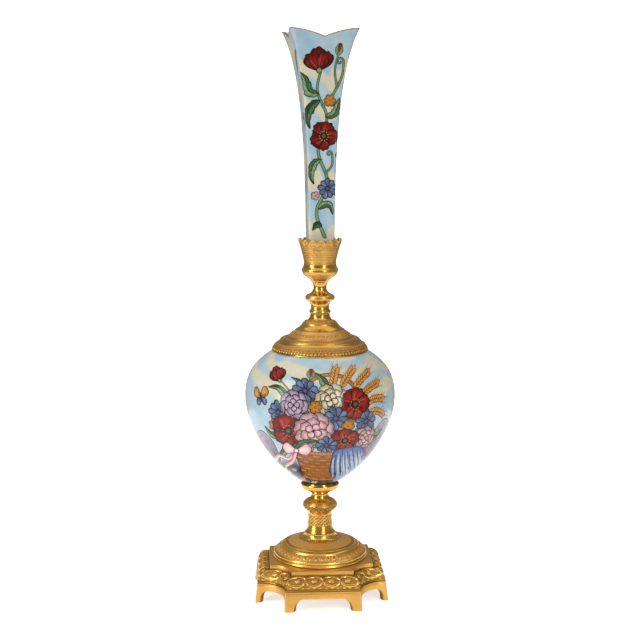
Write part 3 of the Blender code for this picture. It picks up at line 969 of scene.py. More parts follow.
    def bud(self, points, size):
        """A closed bud on the end of its stem, red where its sepals part."""
        self.stem(points, 1.3)
        (x0, y0), (x1, y1) = self.spots(points[-2:])
        way = np.array([x1 - x0, y1 - y0]) / math.hypot(x1 - x0, y1 - y0)
        tilt = math.atan2(way[1], way[0])
        middle = np.array([x1, y1]) + way * size * 0.75
        self.outlined(circle(middle, size * 0.95, 18, 0.55, tilt), rounded(RED, RED_DARK, size * 0.3))
        for side in (1, -1):
            across = np.array([-way[1], way[0]]) * side * size
            line = smooth(np.stack([middle - way * size * 0.9, middle + across * 0.42 - way * size * 0.2,
                                    middle + across * 0.3 + way * size * 0.8]), step=0.6)
            half = size * 0.24 * np.sin(np.pi * np.linspace(0.25, 0.98, len(line)))
            self.strand(line, half, GREEN_LIGHT, GREEN, rim=0.22)

    def blossom(self, spot, radius, colour, petals, turn=0.0):
        centre = self.spot(spot)
        a = np.linspace(0, TAU, petals * 8, endpoint=False)
        r = radius * (0.80 + 0.24 * np.abs(np.cos(petals / 2 * (a + turn))))
        self.outlined(centre + heading_all(a) * r[:, None],
                      rounded(colour, np.array(colour) * 0.7, radius * 0.6), 0.5)
        for b in TAU * (np.arange(petals) + 0.5) / petals - turn:
            self.ink(np.stack([centre + heading(b) * radius * f for f in (0.3, 0.6, 0.82)]), 0.3)
        self.area(circle(centre, radius * 0.26, 9), rounded((206, 164, 70), (110, 58, 34), radius * 0.2))

    def rose(self, spot, size, colour, turn=0.0):
        """A full flower: three rings of petals, one on another, each smaller and lighter."""
        colour = np.array(colour, float)
        for ring, (petals, share) in enumerate(((7, 1.0), (6, 0.70), (4, 0.42))):
            for i in range(petals):
                angle = turn + 360.0 * i / petals + 25 * ring
                self.petal(spot, angle, size * share * 0.86, size * share * 0.98, 0.05 * size * share,
                           colour * (0.93 + 0.05 * ring - 0.04 * (i % 2)), 2, True)

    def cornflower(self, spot, size, turn):
        """A ring of narrow blue petals round a dark eye."""
        for i in range(9):
            self.petal(spot, turn + 40.0 * i, size * (1.0 - 0.10 * (i % 2)), size * 0.56, 0.0,
                       np.array((108, 130, 172)) * (1 - 0.10 * (i % 3)), 2, True)
        self.disc(spot, size * 0.24, (112, 92, 136), BLUE_DARK, size * 0.2, 10)

    def wheat(self, points):
        """An ear of wheat on its stalk: pairs of grains with their awns, one grain at the tip."""
        pairs, size = 7, 2.7
        line = self.curled(points)
        self.strand(line, np.linspace(0.8, 0.5, len(line)), WHEAT, WHEAT_DARK, WHEAT_INK, 0.25)
        t = lengths(line)
        for k in range(pairs + 1):
            here = t[-1] - k * size * 0.8
            before, spot = (np.array([np.interp(at, t, xs) for xs in line.T]) for at in (here - 1, here))
            x, y = spot - before
            for side in ((1, -1) if k else (0,)):
                tilt = math.atan2(y, x) + 0.42 * side
                way = heading(tilt)
                middle = spot + np.array([-y, x]) * side * size * 0.40 + way * size * 0.2
                self.ink(np.stack([middle + way * size * f for f in (0.8, 1.7, 2.7)]), 0.34, WHEAT_INK)
                self.outlined(circle(middle, size * 0.92, 12, 0.46, tilt),
                              rounded(WHEAT_LIGHT, WHEAT_DARK, size * 0.4), 0.4, WHEAT_INK)

    def butterfly(self, spot, size, lean):
        wing = (216, 150, 74)
        for angle, share, colour in ((-40, 0.7, BLUE), (-140, 0.7, BLUE), (38, 1.0, wing), (142, 1.0, wing)):
            self.petal(spot, angle + lean, size * share, size * share * 0.86, 0.0, colour, 2)
        self.disc(spot, size * 0.42, (92, 66, 58), (44, 32, 32), 0.5, 12, 0.24, math.radians(90 + lean), 0.4)

    def cloth(self, outline, middle, edge, folds=(), depth=2.2, line=0.6):
        """An outlined piece of cloth; a fold is (points, width, colour, strength)."""
        rim = self.line(outline, 1.3, True)
        self.area(rim, rounded(middle, edge, depth, 6, len(self.layers)))
        for points, width, colour, strength in folds:
            self.sweep(self.line(points, 1.2), width, colour, strength)
        self.ink(rim, line, closed=True)

    def rock(self, outline, seed):
        rim = self.line(outline, 1.4, True)
        low, high = rim.min(0), rim.max(0)
        self.area(rim, graded(ROCK_DARK, ROCK_LIGHT, ((low[0] + high[0]) / 2 + 4, low[1]),
                              ((low[0] + high[0]) / 2 - 4, high[1]), 10, seed))
        dice = np.random.default_rng(seed)
        for i in range(16):
            x, y = dice.uniform(low[0] + 2, high[0] - 2), dice.uniform(low[1] + 6, high[1] - 2)
            line = np.array([(x, y), (x + dice.uniform(-1, 2), y - 4),
                             (x + dice.uniform(-2, 4), y - dice.uniform(8, 13))])
            if not within(rim, line).all():
                continue
            if i % 3:
                colour = (174, 168, 184) if i % 2 else ROCK_DARK
                self.sweep(smooth(line), dice.uniform(1.6, 3.4), colour, 0.5)
            else:
                self.ink(smooth(line), 0.4, (70, 62, 84))
        self.ink(rim, 0.6, closed=True)

    def tuft(self, spot, blades, size, seed):
        """Blades of grass that fan out of the ground."""
        dice = np.random.default_rng(seed)
        for i in range(blades):
            a = math.radians(90 + (i / max(blades - 1, 1) - 0.5) * 110 + dice.uniform(-8, 8))
            reach = size * dice.uniform(0.7, 1.1)
            x = spot[0] + dice.uniform(-2, 2)
            self.leaf([(x, spot[1]), (x + reach * 0.2 * math.cos(a), spot[1] + reach * 0.55),
                       (x + reach * math.cos(a), spot[1] + reach * math.sin(a))],
                      size * 0.16, (GREEN_LIGHT if i % 2 else GREEN, GREEN), veins=0, line=0.4)


# ---------------------------------------------------------------- the pictures

def ovoid_picture(skin):
    """A basket of wheat and garden flowers that stands among rocks, with a blue cloth over its rim."""
    sky_paint = sky(skin, ((130, 8), (110, 6), (94, 6)), 3)
    shore = float(skin.lift(np.array([107.0]))[0])

    def ground(turn, up):
        paint = sky_paint(turn, up)
        around = turn / skin.period * TAU
        edge = shore + 4 * np.sin(3 * around + 1) + 2 * np.sin(7 * around)
        t = np.clip((edge - up) / 7, 0, 1)[:, None]
        green = (0.5 + 0.5 * np.sin(around - 0.3))[:, None]
        soil = np.array((44, 50, 78)) + (np.array((56, 68, 52)) - (44, 50, 78)) * green
        spots = np.stack([np.cos(around) * 30 + up, np.sin(around) * 30], 1)
        soil = soil + 12 * ripple(spots, 9.0, 4)[:, None]
        return paint + (soil - paint) * t

    p = Painter(skin, ground)
    bouquet(p)
    basket(p)
    grass_in_front(p)
    far_side(p)
    return p


def plaited(p, line, half, first, reach, width):
    """A plaited cane, with a slanting tick at every third point of its line."""
    p.strand(line, np.full(len(line), half), WICKER_LIGHT, WICKER, WICKER_DARK, 0.35)
    for i in range(first, len(line) - first, 3):
        ends = sideways(line)[[i]] * reach * np.array([[1.0], [0.0], [-1.0]])
        p.ink(line[[i - 1, i, i + 1]] + ends, width, WICKER_DARK)


def bouquet(p):
    """What stands behind the basket's rim: rocks, the handle, leaves, wheat and flowers."""
    # low rocks on both sides
    p.rock([(-66, 100), (-67, 112), (-60, 121), (-50, 125), (-41, 121), (-35, 112), (-34, 101), (-48, 95)], 5)
    p.rock([(30, 102), (34, 117), (42, 128), (52, 133), (61, 128), (67, 116), (66, 103), (48, 96)], 8)

    # the handle, behind the flowers
    handle = p.line([(-17, 114), (-21, 130), (-19, 150), (-9, 164), (4, 168), (17, 164), (27, 150), (29, 130),
                     (25, 114)])
    plaited(p, handle, 1.25, 3, 1.1, 0.4)

    # leaves that stand out all round
    for points, width, teeth in (
            ([(-10, 124), (-26, 128), (-38, 124), (-46, 130)], 8.5, 5),
            ([(-6, 128), (-22, 148), (-32, 158), (-42, 158)], 8.0, 5),
            ([(-2, 132), (-10, 150), (-15, 162), (-23, 166)], 7.5, 5),
            ([(14, 124), (32, 128), (42, 122), (50, 126)], 8.5, 5),
            ([(0, 140), (2, 156), (-1, 165), (-8, 170)], 7.0, 4),
            ([(-8, 118), (-24, 116), (-32, 108), (-40, 108)], 7.0, 4)):
        p.leaf(points, width, LIT, teeth)

    # wheat that leans to the right
    for points in ([(6, 122), (22, 136), (38, 141), (49, 137)], [(6, 124), (20, 140), (35, 149), (48, 149)],
                   [(5, 124), (16, 144), (31, 156), (43, 160)], [(4, 126), (13, 146), (24, 161), (35, 168)],
                   [(4, 126), (7, 148), (14, 163), (22, 171)], [(4, 126), (4, 148), (6, 162), (9, 172)]):
        p.wheat(points)

    # flowers, the far ones first
    p.stem([(-4, 130), (-14, 148), (-25, 158), (-32, 164)], 1.5)
    p.goblet((-32, 163), 11.0, -24)
    p.bud([(-2, 134), (-5, 150), (-10, 160), (-9, 166)], 4.4)
    p.cornflower((-13, 158), 8.0, 10)
    p.cornflower((31, 135), 8.0, 5)
    p.cornflower((-33, 142), 7.4, 20)
    p.rose((5, 152), 10.5, IVORY, 12)
    p.rose((-21, 148), 9.5, LILAC, 40)
    p.poppy((22, 148), 11.0, 5, 64.0, 0.92)
    p.blossom((-6, 147), 4.6, ORANGE, 6)
    p.blossom((-37, 132), 4.4, ORANGE, 6, turn=0.3)
    p.poppy((-25, 129), 13.0, 6, 96.0, 0.84)
    p.rose((31, 122), 9.0, ROSE, 20)
    p.cornflower((8, 139), 8.0, 30)
    p.blossom((17, 133), 4.8, ORANGE, 6, turn=0.2)
    p.rose((-7, 130), 13.0, ROSE, 5)
    p.leaf([(-2, 122), (-14, 120), (-20, 113), (-27, 112)], 6.5, LIT, 4)
    p.leaf([(10, 122), (16, 118), (19, 110), (16, 104)], 6.5, LIT, 4)
    p.poppy((15, 122), 10.5, 5, 80.0, 0.80)
    p.cornflower((2, 119), 7.0, 15)
    p.blossom((-11, 117), 4.6, LILAC, 5, turn=0.4)
    p.butterfly((-49, 150), 8.0, 12)


def basket(p):
    """Wicker, woven over and under its canes, and a blue cloth that hangs over its rim to the ground."""
    middle, rim_half = 4, 24.0

    def across(share, z):
        """A place on its front, which sags in the middle; share is -1 to 1 from side to side."""
        return (middle + share * (rim_half - 0.30 * (115 - z)), z - 2.6 * (1 - share * share))

    shares = np.linspace(-1, 1, 9)
    front = [across(share, 114) for share in shares] + [across(share, 91) for share in shares[::-1]]
    p.outlined(p.line(front, closed=True), rounded(WICKER, WICKER_DARK, 2.5))
    columns = 11
    for row in range(8):
        for column in range((row + 1) % 2, columns, 2):
            ends = -1 + 2 * (column + np.array([-0.15, 0.5, 1.15])) / columns
            line = p.line([across(share, 112.0 - 2.9 * row) for share in np.clip(ends, -1, 1)])
            half = 1.25 * np.sin(np.pi * np.linspace(0.16, 0.84, len(line))) ** 0.5
            p.strand(line, half, WICKER_LIGHT, WICKER, WICKER_DARK, 0.25)
    for z, half in ((90.5, 1.3), (114.5, 1.7)):
        plaited(p, p.line([across(share, z) for share in shares * 1.03]), half, 2, 0.9 * half, 0.45)

    # the cloth, its folds fanned out from the rim
    p.cloth([(7, 114), (13, 116), (22, 116.5), (29, 115), (35, 107), (40, 98), (41, 92), (34, 89), (27, 84),
             (20, 87), (14, 84), (8, 90), (5, 98), (6, 106)], BLUE, (70, 88, 140), [], 3.0)
    dice = np.random.default_rng(21)
    for i in range(34):
        s = i / 33
        start = np.array([8 + 20 * s, 113.5 + 1.6 * math.sin(math.pi * s)])
        end = (8 + 32 * s, 88.5 + 4 * s * s - 2.6 * abs(math.sin(3.5 * math.pi * s)))
        bow = (7 + 26 * s, 103.0)
        tone = (BLUE_LIGHT, BLUE, BLUE_DARK, BLUE_LIGHT, (140, 160, 190))[i % 5]
        fold = p.line([start + (bow - start) * dice.uniform(0.0, 0.3), bow, end], 1.2)
        p.sweep(fold, dice.uniform(1.2, 2.4), tone, 0.9)
        if i % 6 == 3:
            p.ink(p.line([start, bow, end]), 0.45, (34, 40, 84))

    # a pink bow at the foot of the handle, its ends blown out to the left
    for points, half in (([(-19, 114), (-25, 106), (-34, 107), (-41, 100), (-50, 101)], 2.7),
                         ([(-19, 114), (-22, 104), (-29, 98), (-32, 90)], 2.5)):
        line = p.line(points, 0.8)
        wide = half * np.linspace(0.45, 1.0, len(line))
        p.strand(line, wide, PINK_LIGHT, PINK_DEEP, INK, 0.35)
        for share, colour in ((0.35, (250, 240, 238)), (-0.45, PINK_DEEP)):
            p.sweep(line + sideways(line) * (wide * share)[:, None], half * 0.7, colour, 0.7)
    for side in (1, -1):
        loop = [(-19, 114), (-19 + 7 * side, 120), (-19 + 11 * side, 115.5), (-19 + 7 * side, 110.5)]
        shine = [(-19 + 2 * side, 114), (-19 + 8 * side, 116.5)]
        p.cloth(loop, PINK, PINK_DEEP, [(shine, 2.2, PINK_LIGHT, 0.9)], 1.8)
    p.disc((-19, 114), 2.1, PINK_LIGHT, PINK_DEEP, 1.6)


def grass_in_front(p):
    """Tufts of grass and small flowers along the ground."""
    for x, z, blades, size, seed in ((-34, 92, 6, 11, 2), (-20, 86, 6, 9, 3), (-8, 82, 5, 8, 4),
                                     (44, 97, 6, 11, 5), (30, 84, 5, 8, 6), (12, 80, 5, 8, 7)):
        p.tuft((x, z), blades, size, seed)
    for x, z, r, colour in ((-27, 92, 3.4, IVORY), (-21, 96, 2.8, LILAC), (-14, 87, 3.2, ORANGE),
                            (-5, 85, 2.8, IVORY), (46, 104, 3.4, LILAC), (51, 110, 3.0, IVORY)):
        p.blossom((x, z), r, colour, 6)


def far_side(p):
    """The sides and the back, plainer: rocks and poppies. The last thing painted on the ovoid."""
    for turn, f in ((98, 1), (-112, -1), (151, -1), (-159, 1)):        # f is -1 for a mirrored group
        p.facing = math.radians(turn)
        p.rock([(-24 * f, 104), (-25 * f, 116), (-18 * f, 126), (-8 * f, 128), (2 * f, 122), (10 * f, 118),
                (22 * f, 114), (25 * f, 104), (8 * f, 100), (-10 * f, 100)][::f], 12 + abs(turn))
        for x, seed in ((-18, 31), (-4, 32), (10, 33), (22, 34)):
            p.tuft((x * f, 98), 5, 12, seed + abs(turn))
        p.stem([(8 * f, 98), (7 * f, 116), (3 * f, 130), (-3 * f, 140)], 1.8)
        p.stem([(7 * f, 116), (11 * f, 124), (15 * f, 127)], 1.4, 1.0, 2.4, -f)
        p.leaf([(10 * f, 100), (14 * f, 110), (20 * f, 118), (21 * f, 128)], 8.0, LIT, 5)
        p.leaf([(5 * f, 102), (-3 * f, 110), (-10 * f, 114)], 6.5, DIM, 4)
        p.poppy((-4 * f, 142), 13.0, 5, 90.0 + 10 * f, 0.85)
        p.bud([(12 * f, 104), (16 * f, 124), (14 * f, 138), (17 * f, 146)], 4.0)


def tube_picture(skin):
    """A vine that climbs the front of the tube, a sprig on each other side, and a gilt line at the mouth."""
    p = Painter(skin, sky(skin, ((136, 7), (112, 6), (62, 9), (26, 8)), 5))
    p.stem([(2, 258), (-4, 276), (4, 296), (-3, 318), (3, 340), (-4, 358), (-2, 372)], 2.2)
    p.stem([(0, 348), (7, 356), (13, 368), (14, 378)], 1.6, 1.0, 2.6, 1)
    p.stem([(2, 302), (7, 308), (7, 316)], 1.3, 0.9, 2.0, 1)
    p.leaf([(-3, 356), (-10, 358), (-13, 366), (-17, 371)], 6.6, LIT, 5, 4, 0.6)
    p.leaf([(-2, 352), (-8, 348), (-11, 340), (-9, 333)], 6.0, DIM, 4, 4, 0.6)
    p.leaf([(2, 341), (8, 343), (11, 350), (12, 354)], 5.4, LIT, 4, 4, 0.6)
    p.leaf([(-1, 312), (-6, 309), (-8, 301), (-6, 295)], 5.2, LIT, 4, 4, 0.6)
    p.leaf([(-3, 278), (2, 281), (6, 280), (8, 274)], 4.8, LIT, 3, 3, 0.6)
    p.leaf([(0, 266), (-4, 267), (-7, 263)], 4.0, DIM, 3, 3, 0.6)
    p.bud([(10, 360), (8, 372), (10, 383)], 4.2)
    p.goblet((-3, 372), 15.0, -6, TUBE_RED)
    p.blossom((5, 352), 4.2, ORANGE, 6)
    p.poppy((1, 328), 9.6, 5, 58.0, 0.92, colour=TUBE_RED)
    p.cornflower((4, 292), 6.4, 12)
    p.blossom((-5, 287), 3.0, ROSE, 5)
    for face in (0.0, 2.0, 4.0, -2.0):
        p.facing = face
        share = np.linspace(-1.02, 1.02, 60)
        up = skin.top(share) - 0.35
        p.stroke(np.stack([share * skin.girth(up), up], 1), 0.42,
                 rounded((196, 178, 150), (150, 112, 70), 0.4, 18, 4))
    for face, f in ((2.0, -1), (4.0, 1), (-2.0, 1)):        # f is -1 for a mirrored sprig
        p.facing = face
        p.stem([(f, 262), (-3 * f, 280), (2 * f, 302), (2 * f, 322), (-3 * f, 342), (0, 360), (f, 372)], 1.6)
        p.leaf([(-f, 288), (-6 * f, 294), (-7 * f, 304)], 4.6, LIT, 3, 3)
        p.stem([(f, 296), (5 * f, 302), (6 * f, 309)], 1.3)
        p.leaf([(-2 * f, 340), (4 * f, 342), (6 * f, 333)], 5.0, LIT, 4, 4)
        p.leaf([(f, 372), (8 * f, 382), (16 * f, 386)], 5.0, DIM, 4, 4)
        if face > 0:
            p.leaf([(0, 372), (-8 * f, 380), (-15 * f, 384)], 5.0, DIM, 4, 4)
            p.poppy((0, 366), 9.5, 5, 90.0, 0.9, colour=TUBE_RED)
            p.goblet((6 * f, 311), 8.0, -8 * f, TUBE_RED)
        p.stem([(-3 * f, 338), (-6 * f, 330), (-7 * f, 326)], 1.0, 0.9, 1.8, -f)
    return p


BODY_INSIDE = [ring_row(r, z) for r, z in body_outline(BODY_WALL, 10)[::-1]]
TUBE_INSIDE = [tube_row(z) for z in (None, 390, 382, 374, 362, 350, 336, 318, 300, 282, 266, 256,
                                     TUBE_FOOT + TUBE_WALL)]
porcelain = painted_porcelain()
body = vessel("painted_ovoid", body_skin, ovoid_picture(body_skin), BODY_INSIDE, BODY_FOOT, 0.0)
tube = vessel("painted_tube", tube_skin, tube_picture(tube_skin), TUBE_INSIDE, TUBE_FOOT, 1.0)
dress(body, "painted_porcelain", porcelain, "body")
dress(tube, "painted_porcelain", porcelain, "tube")


# ---------------------------------------------------------------- turned gilt mounts

# How far a profile's arc bends: the tangent of a quarter of the angle that it turns through
ROLL = 0.6
OVOLO = 0.414
SWELL = 0.2
HOLLOW = -0.2
CAVETTO = -0.414
RIDGE = 0.20        # height of the fine rings cut in the lathe


def moulding(*stations):
    """A turned profile, top to bottom, from stations (radius, height, bend, matte, ridges); the last
    three belong to the stretch below the station and are 0 if left out. Gives the points and how
    matte each is."""
    points, matte = [], []
    for here, (bx, by, *_) in zip(stations, stations[1:]):
        ax, ay, bend, dull, ridges = (*here, 0, 0, 0)[:5]
        chord = math.hypot(bx - ax, by - ay)
        count = max(2, math.ceil(chord / (0.45 if bend else 1.6)), int(ridges * 4))
        t = np.linspace(0, 1, count, endpoint=False)
        if bend:
            turn = 4 * math.atan(bend)
            radius = chord / (2 * math.sin(turn / 2))
            offset = radius * math.cos(turn / 2)
            cx = (ax + bx) / 2 + offset * (by - ay) / chord
            cy = (ay + by) / 2 - offset * (bx - ax) / chord
            angle = math.atan2(ay - cy, ax - cx) - turn * t
            line = np.stack([cx + abs(radius) * np.cos(angle), cy + abs(radius) * np.sin(angle)], 1)
        else:
            line = np.stack([ax + (bx - ax) * t, ay + (by - ay) * t], 1)
        if ridges:
            out = np.array([-(by - ay), bx - ax]) / chord
            line = line + out[None] * (RIDGE * (np.cos(TAU * ridges * t) - 1) / 2)[:, None]
        points.append(line)
        matte.append(np.full(count, float(dull)))
    points.append(np.array([stations[-1][:2]], float))
    matte.append(np.zeros(1))
    return np.vstack(points), np.concatenate(matte)


def hollows(points):
    """How deep in a hollow each point of a profile is, 0 to 1, which is where dark toning gathers."""
    run = np.gradient(points, axis=0)
    facing = np.unwrap(np.arctan2(run[:, 1], run[:, 0]))
    at = lengths(points)
    depth = np.zeros(len(points))
    for i in range(1, len(points) - 1):
        bend = facing[i + 1] - facing[i - 1]
        if bend > 0.12:
            near = np.exp(-((at - at[i]) / 0.5) ** 2)
            depth = np.maximum(depth, near * min(1.0, bend / 0.9))
    return depth


def solid(name, verts, faces, matte, patina_and_shade, along=0.0, sharp=180):
    """A smooth, marked mesh from corners in millimetres; folds of more than sharp degrees stay crisp."""
    mesh = bpy.data.meshes.new(name)
    mesh.from_pydata((np.asarray(verts) * MM).tolist(), [], faces)
    marks(mesh, matte, patina_and_shade, along)
    mesh.shade_smooth()
    if sharp < 180:
        mesh.set_sharp_from_angle(angle=math.radians(sharp))
    return link(name, mesh)


def marks(mesh, matte, patina_and_shade, along=0.0):
    """Writes how matte and how toned each point of a mesh is, and its way along a turned profile."""
    for name, values in (("matte", matte), ("patina_and_shade", patina_and_shade), ("along", along)):
        values = np.broadcast_to(np.asarray(values, float), (len(mesh.vertices),))
        attribute = mesh.attributes.new(name, "FLOAT", "POINT")
        attribute.data.foreach_set("value", values.astype(np.float32))


def turned(node, columns, material, *stations, shift=None):
    """A turned piece between its CAD node's foot and top; shift may move its points, as for teeth."""
    points, matte = moulding(*stations)
    patina_and_shade = np.maximum(0.6 * hollows(points), 0.4 * np.clip(matte * 5 - 4.2, 0, 1))
    radius, height = points.T
    foot, top = lowest(node), highest(node)
    height = foot + (height - height.min()) * (top - foot) / (height.max() - height.min())
    angle = np.arange(columns) * TAU / columns
    counts = np.where(radius < 1e-6, 1, columns)        # a point on the axis is one corner, not a ring
    verts = np.vstack([np.column_stack([r * heading_all(angle[:count]), np.full(count, z)])
                       for r, z, count in zip(radius, height, counts)])
    if shift:
        verts = shift(verts)
    rows = [end - count + np.arange(columns) * (count > 1) for end, count in zip(np.cumsum(counts), counts)]
    faces = []
    for u, l in zip(rows, rows[1:]):
        un, ln = np.roll(u, -1), np.roll(l, -1)
        face = [u, l, ln] if u[0] == u[1] else [u, l, un] if l[0] == l[1] else [u, l, ln, un]
        faces += np.stack(face, 1).tolist()
    matte, patina_and_shade, along = (np.repeat(values, counts) for values in (matte, patina_and_shade, lengths(points)))
    dress(solid("gilt_" + node, verts, faces, matte, patina_and_shade, along, 38), "gilt_bronze", material, node)


# ---------------------------------------------------------------- chased ornament

def motif(name, rings, matte=0.08, toned=0.62):
    """A small raised ornament from rings of (across, up, height), closed to a peak. X is out of the
    surface, Y across and Z up, for a width of 2 and a height of 1; each use gives its real size."""
    verts = np.array([(height, across, up) for ring in rings for across, up, height in ring], float)
    rows = np.split(np.arange(len(verts)), np.cumsum([len(ring) for ring in rings])[:-1])
    faces = [rows[0][::-1].tolist()]
    for low, high in zip(rows, rows[1:]):
        faces += (fan(low, high[0]) if len(high) == 1 else strip(low, high)).tolist()
    piece = solid(name, verts / MM, faces, matte, np.maximum(0.0, toned * (1 - 1.5 * verts[:, 0])))
    piece.hide_render = True
    return piece


def ring_points(count, wide, tall, height, waves=0, depth=0.0):
    """A ring of points, round or lobed, at one height above the surface."""
    ring = []
    for i in range(count):
        a = TAU * i / count
        r = 1 + depth * math.cos(waves * a)
        ring.append((wide * r * math.cos(a), tall * r * math.sin(a), height))
    return ring


def ornament_tree():
    """Sets a motif on every point of the given mesh, turned as the point's "facing" says."""
    tree = bpy.data.node_groups.new("ornament_on_seats", "GeometryNodeTree")
    for name, kind in (("Seats", "NodeSocketGeometry"), ("Motif", "NodeSocketObject"),
                       ("Size", "NodeSocketVector"), ("Gilding", "NodeSocketMaterial")):
        tree.interface.new_socket(name, in_out="INPUT", socket_type=kind)
    tree.interface.new_socket("Ornament", in_out="OUTPUT", socket_type="NodeSocketGeometry")

    given = add_node(tree, "NodeGroupInput").outputs
    facing = add_node(tree, "GeometryNodeInputNamedAttribute", {"data_type": "FLOAT_VECTOR"},
                      {"Name": "facing"})
    shape = add_node(tree, "GeometryNodeObjectInfo", (), {"Object": given["Motif"]})
    rows = add_node(tree, "GeometryNodeInstanceOnPoints", (), {
        "Points": given["Seats"], "Instance": shape.outputs["Geometry"],
        "Rotation": facing.outputs["Attribute"], "Scale": given["Size"]})
    real = add_node(tree, "GeometryNodeRealizeInstances", (), {"Geometry": rows.outputs[0]})
    gilded = add_node(tree, "GeometryNodeSetMaterial", (), {
        "Geometry": real.outputs[0], "Material": given["Gilding"]})
    add_node(tree, "NodeGroupOutput", (), {"Ornament": gilded.outputs[0]})
    return tree


def joined(name, pieces):
    """Several objects made one."""
    bm = bmesh.new()
    for piece in pieces:
        bm.from_mesh(piece.data)
    mesh = bpy.data.meshes.new(name)
    bm.to_mesh(mesh)
    bm.free()
    for piece in pieces:
        bpy.data.objects.remove(piece, do_unlink=True)
    return link(name, mesh)


def set_on(material, shape, spots, facing, size):
    """A motif set on each spot, in millimetres; facing is its turn about X, Y and Z."""
    seats = bpy.data.meshes.new("seats")
    seats.from_pydata((np.asarray(spots) * MM).tolist(), [], [])
    turns = seats.attributes.new("facing", "FLOAT_VECTOR", "POINT")
    turns.data.foreach_set("vector", np.asarray(facing, np.float32).ravel())
    piece = link("row", seats)
    modifier = piece.modifiers.new("Grow", "NODES")
    modifier.node_group = tree
    inputs = {"Motif": shape, "Size": [s * MM for s in size], "Gilding": material}
    for item in tree.interface.items_tree:
        if item.name in inputs:
            modifier[item.identifier] = inputs[item.name]
    bpy.context.view_layer.update()
    evaluated = piece.evaluated_get(bpy.context.evaluated_depsgraph_get())
    plain_mesh = bpy.data.meshes.new_from_object(evaluated)
    piece.modifiers.remove(modifier)
    piece.data = plain_mesh
    return piece


def band(material, shape, count, radius, height, lean, size, start=0.0, roll=0.0):
    """One row of a motif round a turned piece; lean is how far the surface faces up, in degrees."""
    angle = (np.arange(count) + start) * TAU / count
    spots = np.column_stack([radius * heading_all(angle), np.full(count, height)])
    facing = np.stack([np.full(count, math.radians(roll)), np.full(count, -math.radians(lean)), angle], 1)
    return set_on(material, shape, spots, facing, size)


gilt = gilding("burnished_gilding", rgb(230, 190, 100), rgb(196, 148, 64), 0.20, 520.0, 0.00022)
# a lighter copy of the burnished gilding for the foot dome: painted light in place of the light that the
# ovoid keeps off the dome
pale = gilding("gilding_painted_lighter", rgb(246, 206, 112), rgb(224, 172, 80), 0.22, 520.0, 0.00022)
satin = gilding("satin_gilding", rgb(212, 170, 82), rgb(186, 142, 60), 0.30, 700.0, 0.00028)

bead = motif("bead", [ring_points(8, 1, 1, 0.0), ring_points(8, 0.86, 0.86, 0.5),
                      ring_points(8, 0.5, 0.5, 0.85), [(0, 0, 1.0)]])
lozenge = motif("lozenge", [[(1, 0, 0), (0, 1, 0), (-1, 0, 0), (0, -1, 0)], [(0, 0, 1.0)]], 0.3)
leaflet = motif("leaflet", [
    [(0, -1, 0), (0.75, -0.3, 0), (0.9, 0.35, 0), (0, 1, 0), (-0.9, 0.35, 0), (-0.75, -0.3, 0)],
    [(0, -0.7, 0.6), (0.45, -0.2, 0.8), (0.5, 0.25, 0.9), (0, 0.7, 0.5), (-0.5, 0.25, 0.9),
     (-0.45, -0.2, 0.8)],
    [(0, 0.0, 0.45)]], 0.3, 0.35)
scale = motif("scale", [
    [(-1, 0.6, 0), (-0.8, -0.3, 0), (0, -1, 0), (0.8, -0.3, 0), (1, 0.6, 0)],
    [(-0.6, 0.5, 0.4), (-0.5, -0.2, 0.7), (0, -0.65, 1.0), (0.5, -0.2, 0.7), (0.6, 0.5, 0.4)],
    [(0, 0.3, 0.35)]], 0.15, 0.75)

tree = ornament_tree()


def ornaments(name, rows, material):
    """Rows of ornament joined into one piece."""
    dress(joined(name, [band(material, *row) for row in rows]), "gilt_bronze", material)


# ---------------------------------------------------------------- plinth

FOOT_HALF, FOOT_HOLLOW = 47.4, 20.3
APRON_HALF, APRON_TOP = 45.7, 14.2
FRIEZE_FOOT_HALF, FILLET_TOP = 45.0, 15.6
TABLE_HALF, FRIEZE_TOP = 36.7, 22.4
TABLE_TOP = highest("plinth")
PLINTH_WALL = 3.0
ARCH_HEIGHT = 9.0            # clear height between the feet
SIDE_ARCH, SIDE_ARCH_ROUND = 21.3, 7.5          # half width between the feet, and the round of its shoulders
HOLLOW_ARCH, HOLLOW_ARCH_ROUND = 12.4, 5.0
FRIEZE_BULGE = 0.32
SEAT_SINK = 0.1             # how deep ornaments sit in the frieze
EDGE_SOFTNESS = 0.035       # share of a side over which its edges at the hollows are rounded


def plinth_place(share, half, height, depth=0.0):
    """A point of the plinth, depth inside its face. Share runs from -2 to 2 for each quarter: 0 is the
    middle of a side, 1 the edge where its hollow corner starts and 2 the middle of the hollow."""
    share, half, height, depth = np.broadcast_arrays(share, half, height, depth)
    hollow = np.interp(half, (TABLE_HALF, FRIEZE_FOOT_HALF, APRON_HALF, FOOT_HALF), (14.9, 19.4, 19.4, 20.3))
    quarter = np.floor((share + 2) / 4)
    local = share - 4 * quarter
    reach = hollow + depth
    first = np.arcsin(depth / reach)

    def line(s):
        angle = math.pi - first - (math.pi / 4 - first) * np.clip(s - 1, 0, 1)
        x = np.where(s < 1, s * (half - reach * np.cos(first)), half + reach * np.cos(angle))
        return x, np.where(s < 1, depth - half, reach * np.sin(angle) - half)

    s = np.abs(local)
    x, y = line(s)
    t = np.clip((s - 1) / EDGE_SOFTNESS / 2 + 0.5, 0, 1)
    (ax, ay), (bx, by), (cx, cy) = (line(np.full_like(s, 1 + k * EDGE_SOFTNESS)) for k in (-1, 0, 1))
    bent = np.abs(s - 1) < EDGE_SOFTNESS
    x = np.where(bent, (1 - t) ** 2 * ax + 2 * t * (1 - t) * bx + t * t * cx, x) * np.sign(local)
    y = np.where(bent, (1 - t) ** 2 * ay + 2 * t * (1 - t) * by + t * t * cy, y)
    turn = quarter * math.pi / 2
    return np.stack([x * np.cos(turn) - y * np.sin(turn), x * np.sin(turn) + y * np.cos(turn), height], -1)


def four_sides(values, step=4):
    """The values for one side of the plinth, and again for the other three."""
    return np.concatenate([values + step * side for side in range(4)])


